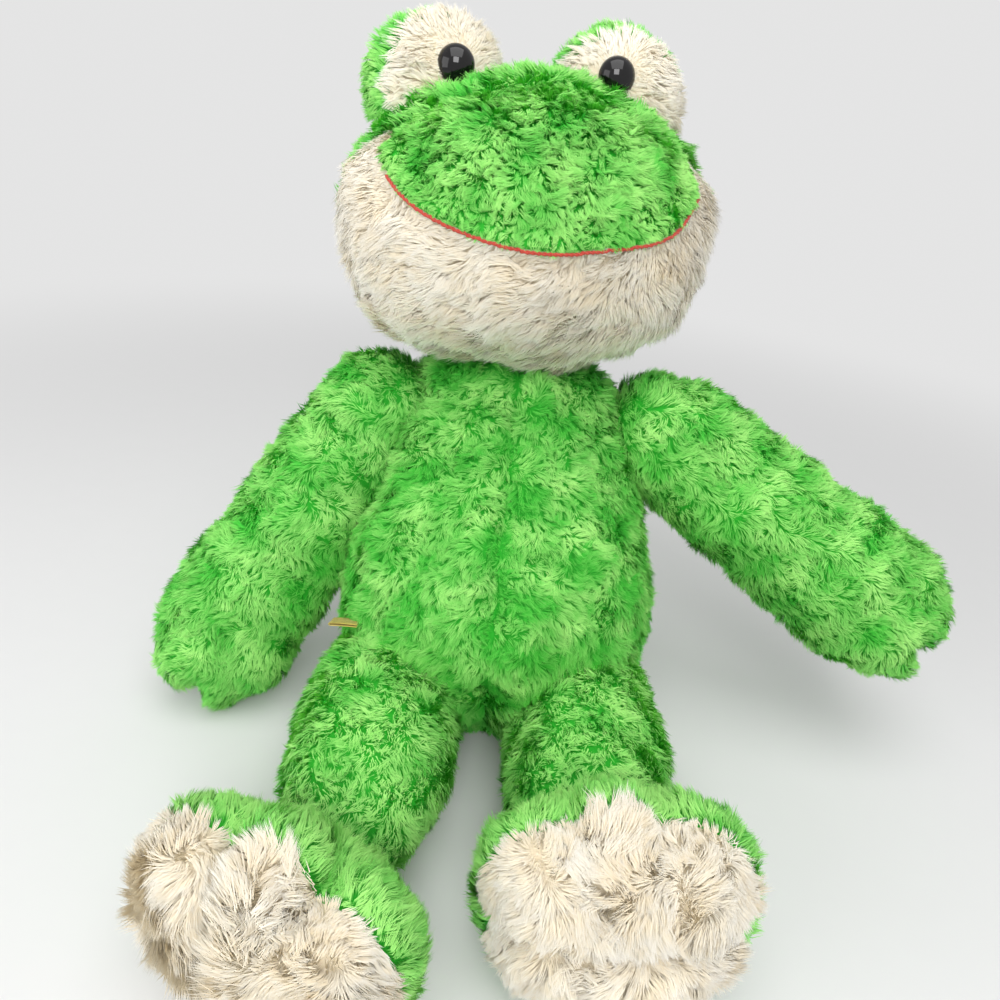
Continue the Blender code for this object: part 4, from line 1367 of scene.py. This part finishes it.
def build_pellet_bag():
    """The small bag of pellets that weighs the seat down, sewn from two rounds of cloth."""
    place = torso_place()
    low, high = bounds_along(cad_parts["seat_pellet_bag"], place)
    middle, reach = (low + high) / 2.0, (high - low) / 2.0
    stand = place @ Matrix.Translation((middle[0], middle[1], low[2]))
    bag = stuffed_form("pellet_bag_sewn", stand, (2.0 * reach[2], reach[0], reach[1]),
                       PELLET_RINGS, [1.0] * 12, 0.001)
    knead(bag, 0.0005, 0.008, 19)
    smooth_shaded(bag, 60.0)
    put_on(bag, "bag", "pellet_bag", "torso", "seat_pellet_bag")


def build_label():
    """A short folded tape in the seam at the toy's right hip, its two layers a little apart."""
    place = torso_place()
    low, high = bounds_along(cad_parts["side_label"], place)
    reach = high[0] - low[0] - LABEL_FOLD_RADIUS + LABEL_SEWN_IN
    turn = math.pi * LABEL_FOLD_RADIUS
    nothing_selected()
    bpy.ops.mesh.primitive_grid_add(x_subdivisions=5, y_subdivisions=26, size=1.0,
                                    location=(0.0, 0.0, 0.0))
    label = made("side_label_tape")
    for vert in label.data.vertices:
        along = (vert.co.y + 0.5) * (2.0 * reach + turn)
        if along < reach:
            out, rise = along, LABEL_FOLD_RADIUS
        elif along < reach + turn:
            angle = (along - reach) / LABEL_FOLD_RADIUS
            out = reach + math.sin(angle) * LABEL_FOLD_RADIUS
            rise = math.cos(angle) * LABEL_FOLD_RADIUS
        else:
            out, rise = 2.0 * reach + turn - along, -LABEL_FOLD_RADIUS
        sag = 0.0006 * (out / reach) ** 2 + 0.0003 * math.sin(vert.co.x * 5.0) * out / reach
        across = vert.co.x * (high[1] - low[1])
        vert.co = (high[0] + LABEL_SEWN_IN - out, (low[1] + high[1]) / 2.0 + across,
                   (low[2] + high[2]) / 2.0 + rise - sag)
    label.data.transform(place)
    finish_modifier(label, "SOLIDIFY", thickness=0.0003, offset=0.0)
    smooth_shaded(label, 50.0)
    put_on(label, "label", "label_cloth", "torso", "side_label")


def build_trim():
    """The eye washers and the closing stitch keep their solids and get their finishes."""
    for name, finish in (("eye_washer_right", "washer"), ("eye_washer_left", "washer"),
                         ("back_closing_stitch", "seam")):
        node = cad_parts[name]
        node.data.materials.clear()
        node.data.materials.append(finish_for(finish))


# The stage

def build_stage():
    """A pale floor that fades into the background, soft lamps and the camera."""
    pick = settings()
    nothing_selected()
    bpy.ops.mesh.primitive_circle_add(vertices=96, radius=6.0, fill_type="NGON",
                                      location=(0.0, 0.0, 0.0))
    floor = made("pale_floor")
    floor.data.materials.append(floor_finish(pick.backdrop))
    add_world(pick.backdrop)
    for name, at, size, power in LAMPS:
        add_lamp(name, at, size, getattr(pick, power))
    add_camera()


def floor_finish(colour):
    """Lit near the object, so that it keeps the shadow, and the background's own colour further out."""
    finish = Finish("pale_floor_matt", 0.9, Specular_IOR_Level=0.1)
    place = finish.node("ShaderNodeTexCoord").outputs["Object"]
    length = finish.node("ShaderNodeVectorMath", {"operation": "LENGTH"}, {0: place})
    far = finish.signal(length, "Value")
    grain = finish.noise(60.0, 3.0)
    finish.colour(finish.mix(grain, (*scaled(colour, 0.985), 1.0), (*colour[:3], 1.0)))
    glow = finish.node("ShaderNodeEmission", None, {"Color": (*colour[:3], 1.0), "Strength": 1.0})
    fade = finish.node("ShaderNodeMapRange", {"interpolation_type": "SMOOTHSTEP"},
                       {"Value": far, "From Min": 0.35, "From Max": 1.1})
    blend = finish.node("ShaderNodeMixShader", None, {0: fade.outputs[0]})
    finish.feed(blend.inputs[1], finish.shader.outputs[0])
    finish.feed(blend.inputs[2], glow.outputs[0])
    output = next(node for node in finish.tree.nodes if node.type == "OUTPUT_MATERIAL")
    finish.feed(output.inputs["Surface"], blend.outputs[0])
    return finish.material


def add_world(colour):
    """An even pale sky. The camera sees the background's own colour in it."""
    world = bpy.data.worlds.new("pale_room")
    bpy.context.scene.world = world
    world.use_nodes = True
    tree = world.node_tree
    soft = tree.nodes["Background"]
    soft.inputs["Color"].default_value = (1.0, 1.0, 1.0, 1.0)
    soft.inputs["Strength"].default_value = settings().sky
    seen = tree.nodes.new("ShaderNodeBackground")
    seen.inputs["Color"].default_value = (*colour[:3], 1.0)
    seen.inputs["Strength"].default_value = 1.0
    ray = tree.nodes.new("ShaderNodeLightPath")
    either = tree.nodes.new("ShaderNodeMath")
    either.operation = "MAXIMUM"
    tree.links.new(ray.outputs["Is Camera Ray"], either.inputs[0])
    tree.links.new(ray.outputs["Is Glossy Ray"], either.inputs[1])
    blend = tree.nodes.new("ShaderNodeMixShader")
    tree.links.new(either.outputs[0], blend.inputs[0])
    tree.links.new(soft.outputs[0], blend.inputs[1])
    tree.links.new(seen.outputs[0], blend.inputs[2])
    tree.links.new(blend.outputs[0], tree.nodes["World Output"].inputs["Surface"])


def add_lamp(name, at, size, power):
    """A square soft lamp, turned to the middle of the toy."""
    light = bpy.data.lights.new(name, "AREA")
    light.size = size
    light.energy = power
    lamp = bpy.data.objects.new(name, light)
    bpy.context.scene.collection.objects.link(lamp)
    lamp.location = at
    lamp.rotation_euler = (Vector(LAMPS_AIM) - Vector(at)).to_track_quat("-Z", "Y").to_euler()


def add_camera():
    camera = bpy.data.objects.new("camera", bpy.data.cameras.new("camera"))
    bpy.context.scene.collection.objects.link(camera)
    camera.data.lens = CAMERA_LENS
    camera.data.sensor_width = 36.0
    camera.data.clip_start = 0.01
    turn = Matrix.Rotation(CAMERA_TILT, 4, "X") @ Matrix.Rotation(CAMERA_ROLL, 4, "Z")
    camera.matrix_world = Matrix.Translation(CAMERA_AT) @ turn
    bpy.context.scene.camera = camera
    bpy.context.scene.view_settings.view_transform = "Standard"


# The add-on

def lamp_property(name, default):
    return bpy.props.FloatProperty(name=name, description=f"Power of the {name.lower()}",
                                   default=default, unit="POWER")


def colour_property(name, description, default):
    return bpy.props.FloatVectorProperty(name=name, description=description, subtype="COLOR",
                                         size=3, min=0.0, max=1.0, default=default)


class FrogSettings(bpy.types.PropertyGroup):
    """Sizes and colours that a user may change before building."""

    sink: bpy.props.FloatProperty(
        name="Skin depth", description="How far the backing lies under the pile's outer surface",
        default=0.0034, min=0.001, max=0.012, unit="LENGTH")
    density: bpy.props.FloatProperty(
        name="Pile density", description="Share of the full number of blades",
        default=1.0, min=0.05, max=2.0)
    mouth_radius: bpy.props.FloatProperty(
        name="Mouth cord radius", description="Half the thickness of the mouth's red cord",
        default=0.00065, min=0.0003, max=0.002, unit="LENGTH")
    # Deep green and shaded cream colour the roots and the backing: partly the pile's own darker base,
    # partly painted shade deep in the pile.
    green_deep: colour_property("Deep green", "Pile where it parts", (0.036, 0.470, 0.034))
    green_mid: colour_property("Green", "Pile half way up", (0.140, 0.710, 0.090))
    green_tip: colour_property("Light green", "Tips of the pile", (0.460, 0.930, 0.250))
    cream_shade: colour_property("Shaded cream", "Cream pile where it parts", (0.89, 0.79, 0.60))
    cream_pile: colour_property("Cream", "Cream pile half way up", (0.95, 0.905, 0.79))
    cream_tip: colour_property("Cream tips", "Tips of the cream pile", (0.975, 0.955, 0.89))
    mouth_red: colour_property("Mouth red", "The cord along the mouth", (0.52, 0.045, 0.022))
    backdrop: colour_property("Backdrop", "Floor and background", (0.78, 0.78, 0.78))
    sky: bpy.props.FloatProperty(name="Sky light", description="Strength of the even light",
                                 default=0.42)
    key_power: lamp_property("Key lamp", 9.5)
    fill_power: lamp_property("Fill lamp", 6.5)
    top_power: lamp_property("Top lamp", 11.0)


def settings():
    return bpy.context.scene.plush_frog


class PLUSHFROG_OT_forms(bpy.types.Operator):
    """Make the stuffed forms that the panels are cut from"""

    bl_idname = "plush_frog.forms"
    bl_label = "Stuffed forms"

    def execute(self, context):
        make_forms()
        return {"FINISHED"}


class PLUSHFROG_OT_torso(bpy.types.Operator):
    """Make the torso's front and back panels"""

    bl_idname = "plush_frog.torso"
    bl_label = "Torso"

    def execute(self, context):
        build_torso()
        return {"FINISHED"}


class PLUSHFROG_OT_neck(bpy.types.Operator):
    """Make the stuffed neck"""

    bl_idname = "plush_frog.neck"
    bl_label = "Neck"

    def execute(self, context):
        build_neck()
        return {"FINISHED"}


class PLUSHFROG_OT_head(bpy.types.Operator):
    """Make the muzzle, jaw and back of the head"""

    bl_idname = "plush_frog.head"
    bl_label = "Head"

    def execute(self, context):
        build_head()
        return {"FINISHED"}


class PLUSHFROG_OT_bulges(bpy.types.Operator):
    """Make the eye bulges' cream fronts and green backs"""

    bl_idname = "plush_frog.bulges"
    bl_label = "Eye bulges"

    def execute(self, context):
        build_bulges()
        return {"FINISHED"}


class PLUSHFROG_OT_eyes(bpy.types.Operator):
    """Make the two domed eyes"""

    bl_idname = "plush_frog.eyes"
    bl_label = "Eyes"

    def execute(self, context):
        build_eyes()
        return {"FINISHED"}


class PLUSHFROG_OT_mouth(bpy.types.Operator):
    """Make the red cord along the mouth"""

    bl_idname = "plush_frog.mouth"
    bl_label = "Mouth line"

    def execute(self, context):
        build_mouth()
        return {"FINISHED"}


class PLUSHFROG_OT_arms(bpy.types.Operator):
    """Make the two arms"""

    bl_idname = "plush_frog.arms"
    bl_label = "Arms"

    def execute(self, context):
        build_arms()
        return {"FINISHED"}


class PLUSHFROG_OT_legs(bpy.types.Operator):
    """Make the two legs"""

    bl_idname = "plush_frog.legs"
    bl_label = "Legs"

    def execute(self, context):
        build_legs()
        return {"FINISHED"}


class PLUSHFROG_OT_feet(bpy.types.Operator):
    """Make the feet's green uppers and shaggy soles"""

    bl_idname = "plush_frog.feet"
    bl_label = "Feet"

    def execute(self, context):
        build_feet()
        return {"FINISHED"}


class PLUSHFROG_OT_pellet_bag(bpy.types.Operator):
    """Make the bag of pellets in the seat"""

    bl_idname = "plush_frog.pellet_bag"
    bl_label = "Pellet bag"

    def execute(self, context):
        build_pellet_bag()
        return {"FINISHED"}


class PLUSHFROG_OT_label(bpy.types.Operator):
    """Make the folded label at the hip"""

    bl_idname = "plush_frog.label"
    bl_label = "Label"

    def execute(self, context):
        build_label()
        return {"FINISHED"}


class PLUSHFROG_OT_trim(bpy.types.Operator):
    """Finish the eye washers and the closing stitch"""

    bl_idname = "plush_frog.trim"
    bl_label = "Washers and stitch"

    def execute(self, context):
        build_trim()
        return {"FINISHED"}


class PLUSHFROG_OT_stage(bpy.types.Operator):
    """Make the floor, lamps and camera"""

    bl_idname = "plush_frog.stage"
    bl_label = "Stage"

    def execute(self, context):
        build_stage()
        return {"FINISHED"}


OPERATORS = (
    PLUSHFROG_OT_forms,
    PLUSHFROG_OT_torso,
    PLUSHFROG_OT_neck,
    PLUSHFROG_OT_head,
    PLUSHFROG_OT_bulges,
    PLUSHFROG_OT_eyes,
    PLUSHFROG_OT_mouth,
    PLUSHFROG_OT_arms,
    PLUSHFROG_OT_legs,
    PLUSHFROG_OT_feet,
    PLUSHFROG_OT_pellet_bag,
    PLUSHFROG_OT_label,
    PLUSHFROG_OT_trim,
    PLUSHFROG_OT_stage,
)


class PLUSHFROG_PT_build(bpy.types.Panel):
    """Lists the frog's pieces"""

    bl_idname = "PLUSHFROG_PT_build"
    bl_label = "Plush frog"
    bl_space_type = "VIEW_3D"
    bl_region_type = "UI"
    bl_category = "Plush frog"

    def draw(self, context):
        for name in FrogSettings.__annotations__:
            self.layout.prop(context.scene.plush_frog, name)
        for operator in OPERATORS:
            self.layout.operator(operator.bl_idname)


def register():
    for cls in (FrogSettings, *OPERATORS, PLUSHFROG_PT_build):
        bpy.utils.register_class(cls)
    bpy.types.Scene.plush_frog = bpy.props.PointerProperty(type=FrogSettings)


def unregister():
    del bpy.types.Scene.plush_frog
    for cls in (PLUSHFROG_PT_build, *reversed(OPERATORS), FrogSettings):
        bpy.utils.unregister_class(cls)


def main():
    register()
    for operator in OPERATORS:
        group, name = operator.bl_idname.split(".")
        getattr(getattr(bpy.ops, group), name)()
    for form in FORMS.values():
        bpy.data.objects.remove(form)


if __name__ == "__main__":
    main()
